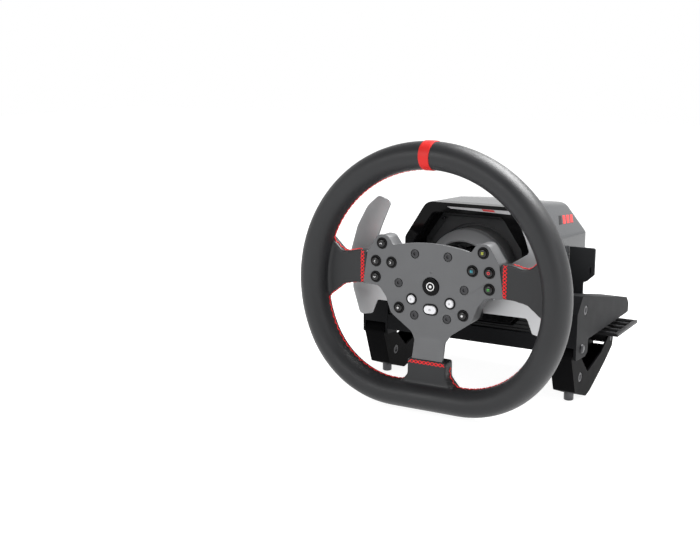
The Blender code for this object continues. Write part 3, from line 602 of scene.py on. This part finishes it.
def build_seams(grip):
    """Red stitches round every opening of the leather, and crossed lacing at the spokes' ends."""
    tree = BVHTree.FromObject(grip, bpy.context.evaluated_depsgraph_get())
    seams = bmesh.new()
    for window in ("upper", "right", "left"):
        line = evenly([hub(*p) for p in window_path(window)], STITCH_PITCH)
        for number, (a, b) in enumerate(zip(line, line[1:])):
            on_a, normal, _, _ = tree.find_nearest(a)
            on_b, _, _, _ = tree.find_nearest(b)
            across = normal.cross(on_b - on_a).normalized()
            swing = across * (STITCH_LEAN if number % 2 else -STITCH_LEAN)
            add_thread(seams, on_a - swing, on_b + swing, normal, STITCH_RADIUS, STITCH_RADIUS)
    piece("seam_stitches", seams, THREAD, "wheel")

    lacing = bmesh.new()
    rows = [((73.6, 28.0), (73.6, -3.6), (4.2, 0.0)),
            ((-73.6, 28.0), (-73.6, -3.6), (-4.2, 0.0)),
            ((-19.6, -72.6), (19.6, -72.6), (0.0, -3.4))]
    for start, end, width in rows:
        lace_row(lacing, tree, Vector(start), Vector(end), Vector(width))
    piece("spoke_lacing", lacing, THREAD, "wheel")


def lace_row(bm, tree, start, end, width):
    """Crossed stitches on a spoke's front, between the line start-end and that line moved by width."""
    for k in range(LACES):
        low, high = start.lerp(end, k / LACES), start.lerp(end, (k + 1) / LACES)
        for a, b in ((low, high + width), (low + width, high)):
            ends = []
            for u, v in (a, b):
                hit, normal, _, _ = tree.ray_cast(hub(u, -60, v), Vector(BACKWARDS))
                if hit is None:
                    hit, normal, _, _ = tree.find_nearest(hub(u, 2, v))
                ends.append((hit, normal))
            (first, normal), (second, _) = ends
            add_thread(bm, first, second, normal, LACE_RADIUS, LACE_RISE)


# ---- the hub

BUTTON_R = 4.1
COLLAR_R = 5.4
DPAD = {"up": (-53.6, 37.6), "left": (-60.3, 19.5), "right": (-43.0, 19.5), "down": (-60.5, 3.7)}
FACE = {"top": (53.6, 37.6), "left": (43.0, 19.5), "right": (60.3, 19.5), "bottom": (60.5, 3.7)}
STICK = {"left": (-34.3, -24.6), "right": (34.3, -24.6)}
WHITES = {"share": (-20.6, -14.5), "options": (20.6, -14.5)}
PILL = (0.0, -22.8)
PILL_HALF = 2.4
SCREW_CIRCLE = 35
HUB_SCREWS = [(SCREW_CIRCLE * cos(radians(a)), SCREW_CIRCLE * sin(radians(a)))
              for a in range(0, 360, 60)]
ROUND_KEYS = {
    **{f"dpad_{k}": v for k, v in DPAD.items()},
    **{f"face_{k}": v for k, v in FACE.items()},
    **{f"stick_{k}": v for k, v in STICK.items()},
}
NECK_BEND = 50.0
NECK_LEAN = 0.29
PLATE_THICK = 3
KEY_STEM = 11.4
KEY_MARK_DEPTH = -2.62
WHITE_MARK_DEPTH = -2.2
MENU_MARK_DEPTH = -1.92
BADGE_MARK_DEPTH = -1.36
MARK_THICK = 0.5


def hub_outline(inset=0.0, foot=True):
    """Plate outline with its neck, or without the foot the smaller outline of the box behind it."""
    reach, sag, steps = 37.0, 4.0, 16
    ear = [(41 + inset, 36.6 - inset, 4), (47.5 + inset, 46 - inset, 7), (58.6 - inset, 46 - inset, 7),
           (70 - inset, 28, 1.5), (74.8 - inset, -4.2 + inset, 2), (57 - inset, -4.8 + inset, 9),
           (49 - inset, -15, 6), (43.2 - inset, -31, 10)]
    if foot:
        ear += [(21 - inset, -46.6, 8), (16.4, -54, 6), (16.4, -72.8, 0.6)]
    else:
        ear += [(21 - inset, -46.6 + inset, 3)]
    crest = 41.8 - inset - (0 if foot else 5)
    top = []
    for k in range(steps + 1):
        x = -reach + 2 * reach * k / steps
        top.append((x, crest - sag * (x / reach) ** 2, 0))
    return rounded(top + ear + flipped(ear))


def pill_outline(radius):
    """Outline round the menu key, at a distance radius from its middle line."""
    steps = 14
    points = []
    for side, start in ((1, -90), (-1, 90)):
        for k in range(steps + 1):
            angle = radians(start + 180 * k / steps)
            u = PILL[0] + side * PILL_HALF + radius * cos(angle)
            points.append((u, PILL[1] + radius * sin(angle)))
    return points


def disc(x, z, low, high, radius, segments=40):
    """Round slug along the steering axis between two depths."""
    profile = [(0, low), (radius, low), (radius, high), (0, high)]
    return turned(profile, hub(x, 0, z), BACKWARDS, segments)


def build_plate():
    """Hub plate with its bent neck, the keys' holes and the screws' seats."""
    plate = slab(hub_outline(), 0, PLATE_THICK)
    bmesh.ops.bisect_plane(plate, geom=plate.verts[:] + plate.edges[:] + plate.faces[:],
                           plane_co=hub(0, 0, -NECK_BEND), plane_no=(0, 0, 1))
    for v in plate.verts:
        below = hub(0, 0, -NECK_BEND).z - v.co.z
        if below > 1e-6:
            v.co.y -= NECK_LEAN * below
    places = [*ROUND_KEYS.values(), *WHITES.values()]
    cuts = [disc(x, z, -5, 8, COLLAR_R + 0.2) for x, z in places]
    cuts.append(slab(pill_outline(COLLAR_R + 0.2), -5, 8))
    cuts += [disc(x, z, -2, 1.6, 4.5) for x, z in HUB_SCREWS]
    cuts.append(disc(0, 0, -2, 1.2, 9, 64))
    cuts.append(disc(0, 13.2, -2, 1.0, 0.45, 16))
    piece("gunmetal_hub_plate", combined(plate, cuts), GUNMETAL, "wheel", ["hub_plate"],
          bevel=0.35)


def build_collars():
    """Black guard ring round each key, part of the frame behind the plate."""
    base = bmesh.new()
    base.from_mesh(frame["nodes"]["button_frame"].data)
    bmesh.ops.remove_doubles(base, verts=base.verts, dist=1e-6)
    piece("key_frame", base, BLACK, "wheel", ["button_frame"])
    ring = [(BUTTON_R + 0.35, -0.6), (BUTTON_R + 0.6, -1.0), (COLLAR_R - 0.4, -1.1), (COLLAR_R, -0.8),
            (COLLAR_R, -0.02), (COLLAR_R + 0.1, -0.02), (COLLAR_R + 0.1, 0.6), (BUTTON_R + 0.35, 0.6)]
    for name, (x, z) in [*ROUND_KEYS.items(), *WHITES.items()]:
        guard = turned(ring, hub(x, 0, z), BACKWARDS, 40)
        piece(f"{name}_guard", guard, BLACK, "wheel")
    outer = slab(pill_outline(COLLAR_R), -1.0, 0.6)
    guard = combined(outer, [slab(pill_outline(BUTTON_R + 0.35), -5, 5)])
    piece("menu_guard", guard, BLACK, "wheel", bevel=0.25)


def shoulder(inner, wide, top, fall):
    """Quarter curve of a turned profile, from a flat crown down to its side."""
    angles = [pi / 2 * k / 8 for k in range(1, 9)]
    return [(inner + wide * sin(a), top + fall * (1 - cos(a))) for a in angles]


def key_profile(crown, dish):
    """Key cap: flat rim, soft shoulder and a crown, with a stem into the hub."""
    inner, outer = BUTTON_R * 0.42, BUTTON_R * 0.98
    return [(0, -crown - dish), *shoulder(inner, outer - inner, -crown, 1.5),
            (BUTTON_R, -crown + 1.8), (BUTTON_R, KEY_STEM), (0, KEY_STEM)]


def build_keys():
    """Caps of the thirteen keys, and their marks."""
    for name, (x, z) in ROUND_KEYS.items():
        cap = turned(key_profile(2.4, 0.12), hub(x, 0, z), BACKWARDS, 40)
        piece(f"{name}_cap", cap, KEY, f"{name}_key", [f"{name}_button"])
    for name, (x, z) in WHITES.items():
        cap = turned(key_profile(2.0, 0.08), hub(x, 0, z), BACKWARDS, 40)
        piece(f"{name}_cap", cap, WHITE, f"{name}_key", [f"{name}_button"])
    cap = slab(pill_outline(BUTTON_R), -1.8, KEY_STEM)
    piece("menu_cap", cap, WHITE, "menu_key", ["menu_button"], bevel=0.9,
          segments=4)
    build_glyphs()


def stroke(bm, x, z, depth, start, end, width):
    """Raised bar between two points of the key's face."""
    a, b = Vector(start), Vector(end)
    along = (b - a).normalized()
    across = Vector((-along.y, along.x)) * width / 2
    corners = [a - across, b - across, b + across, a + across]
    rings = [[bm.verts.new(hub(x + p.x, d, z + p.y)) for p in corners]
             for d in (depth, depth + MARK_THICK)]
    bm.faces.new(rings[0])
    bm.faces.new(reversed(rings[1]))
    bridge(bm, rings)


def ring_mark(bm, x, z, depth, outer, inner, segments=20):
    """Raised ring added to a mark's mesh."""
    back = depth + MARK_THICK
    extra = turned([(inner, depth), (outer, depth), (outer, back), (inner, back)],
                   hub(x, 0, z), BACKWARDS, segments)
    mesh = as_mesh("mark", extra)
    bm.from_mesh(mesh)
    bpy.data.meshes.remove(mesh)


def build_glyphs():
    """Plain marks on the keys: arrows for direction, coloured rings and bars for the rest."""
    depth = KEY_MARK_DEPTH
    turns = {"up": 0, "left": 90, "down": 180, "right": 270}
    for name, (x, z) in DPAD.items():
        bm = bmesh.new()
        turn = Matrix.Rotation(radians(turns[name]), 2)
        for side in (1, -1):
            low, tip = turn @ Vector((side * 1.2, -0.6)), turn @ Vector((-side * 0.1, 0.8))
            stroke(bm, x, z, depth, low, tip, 0.5)
        piece(f"dpad_{name}_arrow", bm, MARK, f"dpad_{name}_key")
    bars = {
        "top": [((-1.2, k), (1.2, k), 0.45) for k in (-0.9, 0.1, 1.1)],
        "left": [((k, -1.3), (k, 1.3), 0.5) for k in (-0.8, 0.8)],
        "right": [],
        "bottom": [((-1.3, k), (1.3, k), 0.5) for k in (-0.7, 0.7)],
    }
    for name, (x, z) in FACE.items():
        bm = bmesh.new()
        for start, end, width in bars[name]:
            stroke(bm, x, z, depth, start, end, width)
        if not bars[name]:
            ring_mark(bm, x, z, depth, 1.5, 0.8)
        piece(f"face_{name}_mark", bm, GLYPHS[name], f"face_{name}_key")
    for name, (x, z) in STICK.items():
        bm = bmesh.new()
        ring_mark(bm, x, z, depth, 1.0, 0.35)
        piece(f"stick_{name}_mark", bm, MARK, f"stick_{name}_key")
    for name, (x, z) in WHITES.items():
        bm = bmesh.new()
        for k in (-0.8, 0.0, 0.8):
            stroke(bm, x, z, WHITE_MARK_DEPTH, (-0.9, k), (0.9, k), 0.28)
        piece(f"{name}_mark", bm, GREY_MARK, f"{name}_key")
    bm = bmesh.new()
    ring_mark(bm, *PILL, MENU_MARK_DEPTH, 1.0, 0.6)
    piece("menu_mark", bm, GREY_MARK, "menu_key")


def socket_screws(name, centres, axis, radius, height, body, mat=DARK_STEEL, socket=0.5):
    """Numbered cap screws with rounded heads and hexagon sockets. axis points out of the heads."""
    head = [(0, -0.2), (radius, -0.2), (radius, height - 0.5), (radius - 0.15, height - 0.15),
            (radius - 0.5, height), (0, height)]
    floor, bore = height - height * 0.7, radius * socket
    hexagon = [(0, floor), (bore, floor), (bore, height + 1), (0, height + 1)]
    for number, centre in enumerate(centres):
        cutter = turned(hexagon, centre, axis, 6)
        screw = combined(turned(head, centre, axis, 32), [cutter])
        piece(f"{name}_{number + 1}", screw, mat, body)


def build_hub_details():
    """Screws, badge and box of the hub, and the carriers of the paddles."""
    socket_screws("hub_screw", [hub(x, 1.6, z) for x, z in HUB_SCREWS], FORWARDS, 3.9, 1.5, "wheel",
                  socket=0.45)
    dome = [(0, -1.25), *shoulder(7.6, 1.1, -1.1, 0.9), (8.7, 0.9), (0, 0.9)]
    piece("badge_disc", turned(dome, hub(0, 0, 0), BACKWARDS, 64), GLOSS, "wheel",
          ["hub_badge"])
    bm = bmesh.new()
    ring_mark(bm, 0, 0, BADGE_MARK_DEPTH, 4.2, 3.4, 48)
    ring_mark(bm, 0, 0, BADGE_MARK_DEPTH, 1.4, 0.01, 32)
    piece("badge_mark", bm, MARK, "wheel")
    build_hub_box()
    refined("paddle_carrier_right", BLACK, 0.4)
    refined("paddle_carrier_left", BLACK, 0.4)


def build_hub_box():
    """Cast cup behind the plate, open to the front, with a soft edge round its back."""
    layers = [(20, 1.4), (19.7, 0.9), (19.1, 0.6), (3.6, 0.6), (3.3, 0.9), (3.3, 1.7), (17.6, 1.7)]
    rings = [[hub(u, depth, v) for u, v in hub_outline(inset, foot=False)]
             for depth, inset in layers]
    piece("cast_hub_box", skin(rings), CASTING, "wheel", ["hub_box"])


UPPER_PADDLE = [(33, 1.5, 1), (33, 15, 2), (60, 18.5, 10), (82.5, 33, 4), (78, 46, 14),
                (67.5, 70.5, 2), (69, 74, 2.5), (81, 78, 5), (94, 67, 30), (106, 45, 30),
                (114, 18, 9), (110, 1.5, 5)]
LOWER_PADDLE = [(33, -1.5, 1), (110, -1.5, 4), (111.5, -20, 16), (102.5, -48.5, 5), (88, -45.5, 3),
                (85, -38, 4), (82, -30.6, 3), (33, -30.6, 1)]


def build_paddles():
    """Four sheet blades, each held by two screws."""
    low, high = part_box("upper_paddle_right")
    front, back = (low.y - HUB.y) / MM, (high.y - HUB.y) / MM
    for side, sign in SIDES:
        for level, corners in (("upper", UPPER_PADDLE), ("lower", LOWER_PADDLE)):
            outline = [(sign * u, v) for u, v in rounded(corners)]
            name = f"{level}_paddle_{side}"
            piece(f"{name}_blade", slab(outline, front, back), SATIN, f"{name}_lever",
                  [name], bevel=0.55, segments=3)
            z = 8 if level == "upper" else -14
            centres = [hub(sign * x, front, z) for x in (40, 47)]
            socket_screws(f"{name}_screw", centres, FORWARDS, 2.2, 1.4, f"{name}_lever", STEEL)


# ---- quick release and column

COLLAR_RIBS = 20
RIB_HEIGHT = 0.7


def collar_ribs(angle):
    """Height of the collar's flat-topped ribs at an angle round it."""
    return RIB_HEIGHT + RIB_HEIGHT * max(-1.0, min(1.0, 2.2 * sin(angle * COLLAR_RIBS)))


def build_column():
    """Collar, socket, shaft and shroud, all turned about the steering axis."""
    start = hub(0, 0, 0)
    grip = [(20.4, 49), (26.4, 49), (27.2, 49.6), (27.6, 51, 1), (27.9, 52, 1), (27.9, 68, 1),
            (27.6, 69.4, 1), (27.0, 70.6), (26.4, 71), (20.4, 71)]
    piece("ribbed_collar", turned(grip, start, BACKWARDS, 240, collar_ribs), KEY, "collar",
          ["quick_release_collar"], smooth=50)
    socket = [(11.4, 36), (11.4, 60.4), (12, 61), (19.4, 61), (20, 60.4), (20, 27), (20.8, 26),
              (27.4, 26), (28, 25.4), (28, 20.3), (8.4, 20.3), (8.4, 36)]
    piece("release_socket", turned(socket, start, BACKWARDS, 72), STEEL, "wheel",
          ["quick_release_socket"])
    shaft = [(0, 38.5), (8, 38.5), (10.6, 41.4), (11, 42.4), (11, 46), (10.2, 46.6), (10.2, 49.4),
             (11, 50), (11, 76), (12, 78), (12, 172), (0, 172)]
    piece("splined_shaft", turned(shaft, start, BACKWARDS, 64), STEEL, "spindle",
          ["steering_shaft"])
    drum = [(34, 70.4), (34.6, 70), (43.2, 81), (44, 82.6), (44, 88), (43.5, 88.3), (43.5, 89.1),
            (44, 89.4), (44, 112.4), (24, 112.4), (24, 100), (30, 100), (32.5, 78), (33.4, 70)]
    piece("column_shroud", turned(drum, start, BACKWARDS, 128), CONE, "base",
          ["column_cone"])


# ---- the base

BEZEL_Y = 80.0
HOUSING_END = 244.0
HOUSING = mirrored([(45.5, 70, 12), (70.2, 31.5, 9), (70.2, -24, 6), (50, -48, 5)])
ROOF_BREAK = 155.0
HALF_WIDTH = 70.0
HALF_HEIGHT = 60.0
LAYER_PITCH = 9
PANEL_HOLE = 44.3
PANEL_SCREWS = [(-39, 49), (39, 49), (50, -14), (-50, -14)]
REAR_SCREWS = [(-42, 44), (42, 44), (42, -34), (-42, -34)]
DECK_SCREWS = [(-78, 60), (78, 60), (78, -20), (-78, -20)]
FIELD_RAISE = 1.6
BAR_START = 178.5
BAR_PITCH = 11.5
BAR_WIDTH = 8.0
BAR_LEAN = 13.0
BAR_LOW, BAR_HIGH = 0.66, 0.42
BAR_LIFT = 0.3


def inset_outline(inset):
    """The housing's section, smaller by inset and with its corners eased to match."""
    return mirrored([(45.5 - inset * 0.75, 70 - inset, 12 - inset * 0.5),
                     (70.2 - inset, 31.5 - inset * 0.4, 8),
                     (70.2 - inset, -24 + inset * 0.4, 5),
                     (50 - inset * 0.6, -48 + inset, 4)])


def taper(depth):
    """Scales of the housing's half width, roof and floor at a distance behind the hub's face."""
    along = (depth - BEZEL_Y) / (HOUSING_END - BEZEL_Y)
    rise = min(1.0, (depth - BEZEL_Y) / (ROOF_BREAK - BEZEL_Y))
    fall = max(0.0, (depth - ROOF_BREAK) / (HOUSING_END - ROOF_BREAK))
    return 1 + 0.025 * along, 1 - 0.045 * rise - 0.155 * fall, 1 - 0.07 * along


def shrunk(outline, amount):
    """Outline pulled towards the axis by about amount millimetres on every side."""
    return [(u * (1 - amount / HALF_WIDTH), v * (1 - amount / HALF_HEIGHT)) for u, v in outline]


def build_housing():
    """Painted shell with the bars on its chamfer, and the gloss bezel at its front."""
    outline = rounded(HOUSING, 10)
    layers = [(90, 0.5), (90.15, 0.15), (90.6, 0),
              *((depth, 0) for depth in range(100, 236, LAYER_PITCH)),
              (238, 0), (241.2, 0.5), (243.2, 1.8), (244, 3.2), (243.6, 3.6), (90, 3.6)]
    rings = []
    for depth, inset in layers:
        wide, roof, floor = taper(depth)
        rings.append([hub(u * wide, depth, v * (roof if v > 0 else floor))
                      for u, v in shrunk(outline, inset)])
    shell = skin(rings + rings[:1], closed_ends=False)
    piece("housing_cover", shell, SHELL, "base", ["housing_shell"], smooth=30)
    for number, mat in enumerate((BLACK, RED_PAINT, RED_PAINT, RED_PAINT)):
        build_chamfer_bar(number, mat)

    opening = rounded(inset_outline(10.5), 10)
    bezel = slab_between(outline, opening, 80, 89.7)
    piece("gloss_bezel", bezel, GLOSS, "base", ["front_bezel"], bevel=0.8,
          segments=4)


def build_chamfer_bar(number, mat):
    """One of the slanting bars painted on the right upper chamfer of the housing."""
    slope = Vector((HOUSING[1][0] - HOUSING[0][0], HOUSING[1][1] - HOUSING[0][1]))
    outward = Vector((-slope.y, slope.x)).normalized()
    start = BAR_START + number * BAR_PITCH
    corners = [(start + BAR_LEAN, BAR_HIGH), (start + BAR_LEAN + BAR_WIDTH, BAR_HIGH),
               (start + BAR_WIDTH, BAR_LOW), (start, BAR_LOW)]
    rings = []
    for lift in (-BAR_LIFT, BAR_LIFT):
        ring = []
        for depth, share in corners:
            wide, roof, _ = taper(depth)
            x = (HOUSING[0][0] + slope.x * share) * wide + outward.x * lift
            z = (HOUSING[0][1] + slope.y * share) * roof + outward.y * lift
            ring.append(hub(x, depth, z))
        rings.append(ring)
    piece(f"chamfer_bar_{number + 1}", skin(rings), mat, "base")


def slab_between(outer, inner, low, high):
    """Flat ring between two outlines of equal point count, its inner edge sloping inwards and back."""
    layers = [(outer, high, 0), (outer, low, 0), (inner, low + 0.6, 0), (inner, high + 18, 1.4),
              (inner, high + 18, -2.5), (inner, high, -4.0)]
    rings = []
    for outline, depth, inset in layers:
        rings.append([hub(u, depth, v) for u, v in shrunk(outline, inset)])
    return skin(rings + rings[:1], closed_ends=False)


def build_panel():
    """Recessed face of the base with a raised field, corner screws and the column's opening."""
    panel_low, panel_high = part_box("front_panel")
    front, back = (panel_low.y - HUB.y) / MM, (panel_high.y - HUB.y) / MM
    opening = disc(0, 0, front - 5, back + 5, PANEL_HOLE, 96)
    plate = combined(slab(rounded(inset_outline(3.7), 10), front, back), [opening])
    piece("face_plate", plate, PANEL, "base", ["front_panel"])
    raised = slab(rounded(inset_outline(17), 10), front - FIELD_RAISE, front - 0.02)
    field = combined(raised, [disc(0, 0, front - 5, front + 5, 47, 96)])
    piece("raised_field", field, PANEL, "base", bevel=0.5)
    centres = [hub(x, front - FIELD_RAISE, z) for x, z in PANEL_SCREWS]
    socket_screws("panel_screw", centres, FORWARDS, 2.3, 1.3, "base")
    # Painted reflection: a flat light grey strip standing in for the highlight along the bezel's upper
    # inner face, with a red accent laid on it.
    light = slab([(-22, 66.3), (47, 66.3), (47, 62.8), (-18, 64.4)], 79.94, 80.3)
    piece("painted_reflection_strip", light, BEZEL_REFLECTION_PAINT, "base")
    accent = slab([(18, 64.2), (31, 63.9), (29, 66.0), (16, 66.1)], 79.86, 80.3)
    piece("bezel_red_accent", accent, RED_PAINT, "base")


def build_rear():
    """Rear cover with its sockets' contacts, a ring round the power socket, and four screws."""
    refined("rear_cover", BLACK, 0.3)
    end = HOUSING_END - 2.5
    power = hub(21, 0, -16)
    ring = turned([(4.6, end - 0.02), (6.2, end - 0.02), (6.2, end + 0.5), (5.9, end + 0.8),
                   (4.9, end + 0.8), (4.6, end + 0.5)], power, BACKWARDS, 48)
    piece("power_socket_ring", ring, STEEL, "base")
    bottom = end - 11.4
    centre_pin = turned([(0, bottom), (1.0, bottom), (1.0, end - 3), (0.6, end - 2.4),
                         (0, end - 2.4)], power, BACKWARDS, 24)
    piece("power_socket_pin", centre_pin, STEEL, "base")
    for name, low, high in (("wide_socket_tongue", (-25, bottom, -17.2), (-16, end - 3, -15.2)),
                            ("square_socket_tongue", (-4, bottom, -17), (4, end - 3, -15.4))):
        piece(name, block(hub(*low), hub(*high)), BLACK, "base", bevel=0.2)
    centres = [hub(x, end + 0.2, z) for x, z in REAR_SCREWS]
    socket_screws("rear_screw", centres, BACKWARDS, 2.6, 1.4, "base")
    for row in range(6):
        z = 38 - row * 7
        outline = [(-26, z + 1.4, 1.3), (26, z + 1.4, 1.3), (26, z - 1.4, 1.3), (-26, z - 1.4, 1.3)]
        rib = slab(rounded(outline, 6), end - 0.02, end + 1.1)
        piece(f"rear_rib_{row + 1}", rib, BLACK, "base", bevel=0.5)


TRIM_BOTTOM = 7.8
TRIM_TOP = 23.6
TRIM_HALF = 89
GROOVES = (10.6, 14.6, 18.6)


def build_deck():
    """Folded deck, grooved trim under the bezel, cradle plate, and the screws of the housing."""
    refined("deck", SHEET, 0.35)
    # The cradle takes the lighter copy of the powder coat: painted light on its front-facing plate.
    refined("cradle_bracket", CRADLE_LIGHTER_COAT, 0.35)
    refined("housing_mount", BLACK, 0.3)
    outline = [(TRIM_HALF, TRIM_BOTTOM), (TRIM_HALF, TRIM_TOP), (62, TRIM_TOP), (53, 13.2),
               (-53, 13.2), (-62, TRIM_TOP), (-TRIM_HALF, TRIM_TOP), (-TRIM_HALF, TRIM_BOTTOM)]
    rings = []
    for depth, inset in ((-86.6, 0.6), (-86.0, 0.0), (-73, 0.0)):
        rings.append([world(u * (1 - inset / 90), depth, v + (inset if v < 10 else -inset))
                      for u, v in outline])
    grooves = [block(world(-95, -90, z), world(95, -85.2, z + 0.9)) for z in GROOVES]
    trim = combined(skin(rings), grooves)
    piece("front_trim", trim, BLACK, "base", bevel=0.3)
    _, bracket_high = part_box("cradle_bracket")
    for side, sign in SIDES:
        behind = Vector((sign * 95.5 * MM, bracket_high.y, hub(0, 0, -7.5).z))
        nut = block(behind - world(2.4, -0.02, 5), behind + world(2.4, 1.4, 5))
        piece(f"slot_nut_{side}", nut, BLACK, "base", bevel=0.3)
    socket_screws("deck_screw", [world(x, y, 2.0) for x, y in DECK_SCREWS], (0, 0, 1), 3.4, 1.8,
                  "base")


def joint_place(name):
    """Where a joint's axis stands at rest."""
    return Vector(JOINTS[name]["pos_m"])


def build_barrel(name, side, centre, reach, body, mat):
    """Cross barrel with dimpled ends and the screw's bore."""
    start = Vector((centre.x - reach, centre.y, centre.z))
    long = 2 * reach / MM
    profile = [(0, 1.2), (2.0, 1.2), (3.2, 0), (4.6, 0), (5, 0.4), (5, long - 0.4), (4.6, long),
               (3.2, long), (2.0, long - 1.2), (0, long - 1.2)]
    turn = JOINTS[f"screw_{side}_turn"]
    bore = turned([(0, -40), (2.9, -40), (2.9, 130), (0, 130)], Vector(turn["pos_m"]),
                  turn["axis"], 24)
    bm = combined(turned(profile, start, (1, 0, 0), 40), [bore])
    piece(f"{name}_barrel", bm, mat, body, [name])


def build_screw(side):
    """Clamp screw: rolled thread, plain neck and a socket head."""
    turn = JOINTS[f"screw_{side}_turn"]
    start, axis = Vector(turn["pos_m"]), Vector(turn["axis"])
    pitch, length = 1.5, 98.0
    profile = [(0, -5.5), (4.5, -5.5), (5, -5.0), (5, 3.9), (4.6, 4.5), (2.6, 4.5), (2.6, 26)]
    crest = 26.4
    while crest < length - 2:
        profile += [(2.15, crest), (2.15, crest + 0.25), (2.6, crest + 0.7), (2.6, crest + 0.95)]
        crest += pitch
    profile += [(2.1, length - 0.6), (1.6, length), (0, length)]
    bm = turned(profile, start, axis, 20)
    cut = turned([(0, -9), (2.6, -9), (2.6, -1.5), (0, -1.5)], start, axis, 6)
    piece(f"threaded_screw_{side}", combined(bm, [cut]), SCREW_STEEL, f"screw_{side}",
          [f"clamp_screw_{side}"], smooth=50)


def build_clamps():
    """Both screw clamps: bracket, arm and pad, rivet, cross barrels and screw."""
    for side, sign in SIDES:
        refined(f"clamp_bracket_{side}", SHEET, 0.4)
        refined(f"clamp_arm_{side}", ARM_BLACK, 0.4)
        refined(f"pressure_pad_{side}", BLACK, 0.4)
        low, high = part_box(f"pivot_pin_{side}")
        inner, outer = (low.x, high.x) if sign > 0 else (high.x, low.x)
        long = abs(outer - inner) / MM
        pivot = joint_place(f"clamp_{side}")
        pin = [(0, 0), (2.2, 0), (2.5, 0.3), (2.5, long - 0.55), (4.6, long - 0.55),
               (4.6, long - 0.1), (3.9, long + 0.9), (2.4, long + 1.5), (0, long + 1.7)]
        rivet = turned(pin, Vector((inner, pivot.y, pivot.z)), (sign, 0, 0), 40)
        piece(f"rivet_pin_{side}", rivet, DARK_STEEL, "base", [f"pivot_pin_{side}"])
        for kind in ("nut", "seat"):
            low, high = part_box(f"clamp_{kind}_{side}")
            build_barrel(f"clamp_{kind}_{side}", side, joint_place(f"{kind}_{side}_turn"),
                         (high.x - low.x) / 2, f"{kind}_{side}", DARK_STEEL)
        build_screw(side)
        build_pad_ribs(side)


def build_pad_ribs(side):
    """Rubber strips on the pad's crossbars."""
    low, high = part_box(f"pressure_pad_{side}")
    centre = (low.x + high.x) / 2 / MM
    top = high.z / MM
    for row in range(5):
        y = 12 + row * 16
        strip = rounded([(centre - 24, y - 1.6, 1.4), (centre + 24, y - 1.6, 1.4),
                         (centre + 24, y + 1.6, 1.4), (centre - 24, y + 1.6, 1.4)], 5)
        bm = skin([[world(u, v, z) for u, v in strip] for z in (top - 0.02, top + 0.7)])
        piece(f"pad_rib_{side}_{row + 1}", bm, RUBBER, f"pad_{side}", bevel=0.25)


# ---- stage, light and camera

CAMERA_AT = world(459.35, -1104.08, 288.0)
CAMERA_AZIMUTH = 30.4
CAMERA_ELEVATION = 11.9
CAMERA_LENS = 57.0
CAMERA_SENSOR = 36.0
FLOOR_GLOW = 0.9
FLOOR_GAP = 0.3 * MM
SKY_TOP = 0.3
FADE_FROM, FADE_TO = 0.3, 0.62


def area_light(name, at, target, size, watts, size_y=None):
    """Softbox at a place in metres, turned to the target."""
    light = bpy.data.lights.new(name, "AREA")
    light.energy = watts
    light.shape = "RECTANGLE"
    light.size = size
    light.size_y = size_y or size
    obj = placed(name, light)
    obj.location = at
    obj.rotation_euler = (Vector(target) - Vector(at)).to_track_quat("-Z", "Y").to_euler()


def build_sky():
    """Studio surround: white round the horizon and dimmer overhead, where the softboxes hang."""
    studio = bpy.data.worlds.new("studio")
    studio.use_nodes = True
    tree = studio.node_tree
    where = add(tree, "TexCoord").outputs["Generated"]
    height = add(tree, "SeparateXYZ", {"Vector": where}).outputs["Z"]
    fade = add(tree, "MapRange", {"From Min": FADE_FROM, "From Max": FADE_TO, "To Min": 1.0,
                                  "To Max": SKY_TOP, "Value": height})
    sky = tree.nodes["Background"]
    sky.inputs["Color"].default_value = (1, 1, 1, 1)
    tree.links.new(fade.outputs["Result"], sky.inputs["Strength"])
    bpy.context.scene.world = studio


def build_floor():
    """Pale glowing floor just under the lowest piece."""
    bm = bmesh.new()
    place = Matrix.Translation((0, 0, CAD_BOX[0][2] - FLOOR_GAP))
    bmesh.ops.create_grid(bm, x_segments=2, y_segments=2, size=4.0, matrix=place)
    mesh = as_mesh("floor", bm)
    pale = finish("pale_floor", (0.3, 0.3, 0.3), 0.8, grain_mm=2.0, depth_mm=0.01, vary=0.005)
    glow = pale.node_tree.nodes["Principled BSDF"]
    glow.inputs["Emission Color"].default_value = (1, 1, 1, 1)
    glow.inputs["Emission Strength"].default_value = FLOOR_GLOW
    mesh.materials.append(pale)
    placed("floor", mesh)


def build_camera():
    """Camera that looks down on the wheel from its front right."""
    camera = placed("camera", bpy.data.cameras.new("camera"))
    camera.data.lens = CAMERA_LENS
    camera.data.sensor_width = CAMERA_SENSOR
    azimuth, elevation = radians(CAMERA_AZIMUTH), radians(CAMERA_ELEVATION)
    back = Vector((sin(azimuth) * cos(elevation), -cos(azimuth) * cos(elevation),
                   sin(elevation)))
    camera.location = CAMERA_AT
    camera.rotation_euler = back.to_track_quat("Z", "Y").to_euler()
    bpy.context.scene.camera = camera


def build_stage():
    """Floor, sky, three softboxes and the camera."""
    build_floor()
    build_sky()
    bpy.context.scene.view_settings.view_transform = "Standard"
    target = (0, -0.1, 0.05)
    area_light("overhead", (0.35, 0.5, 1.05), target, 1.0, 36, 0.6)
    area_light("right_softbox", (1.25, -0.35, 0.6), target, 0.6, 3.5, 1.1)
    area_light("front_fill", (-0.5, -1.6, 0.9), target, 0.9, 10)
    build_camera()


def main():
    """Builds every piece on the frame, then the stage."""
    paint_frame()
    grip = build_grip()
    build_stripe()
    build_seams(grip)
    build_plate()
    build_collars()
    build_keys()
    build_hub_details()
    build_paddles()
    build_column()
    build_housing()
    build_panel()
    build_rear()
    build_deck()
    build_clamps()
    build_stage()


main()
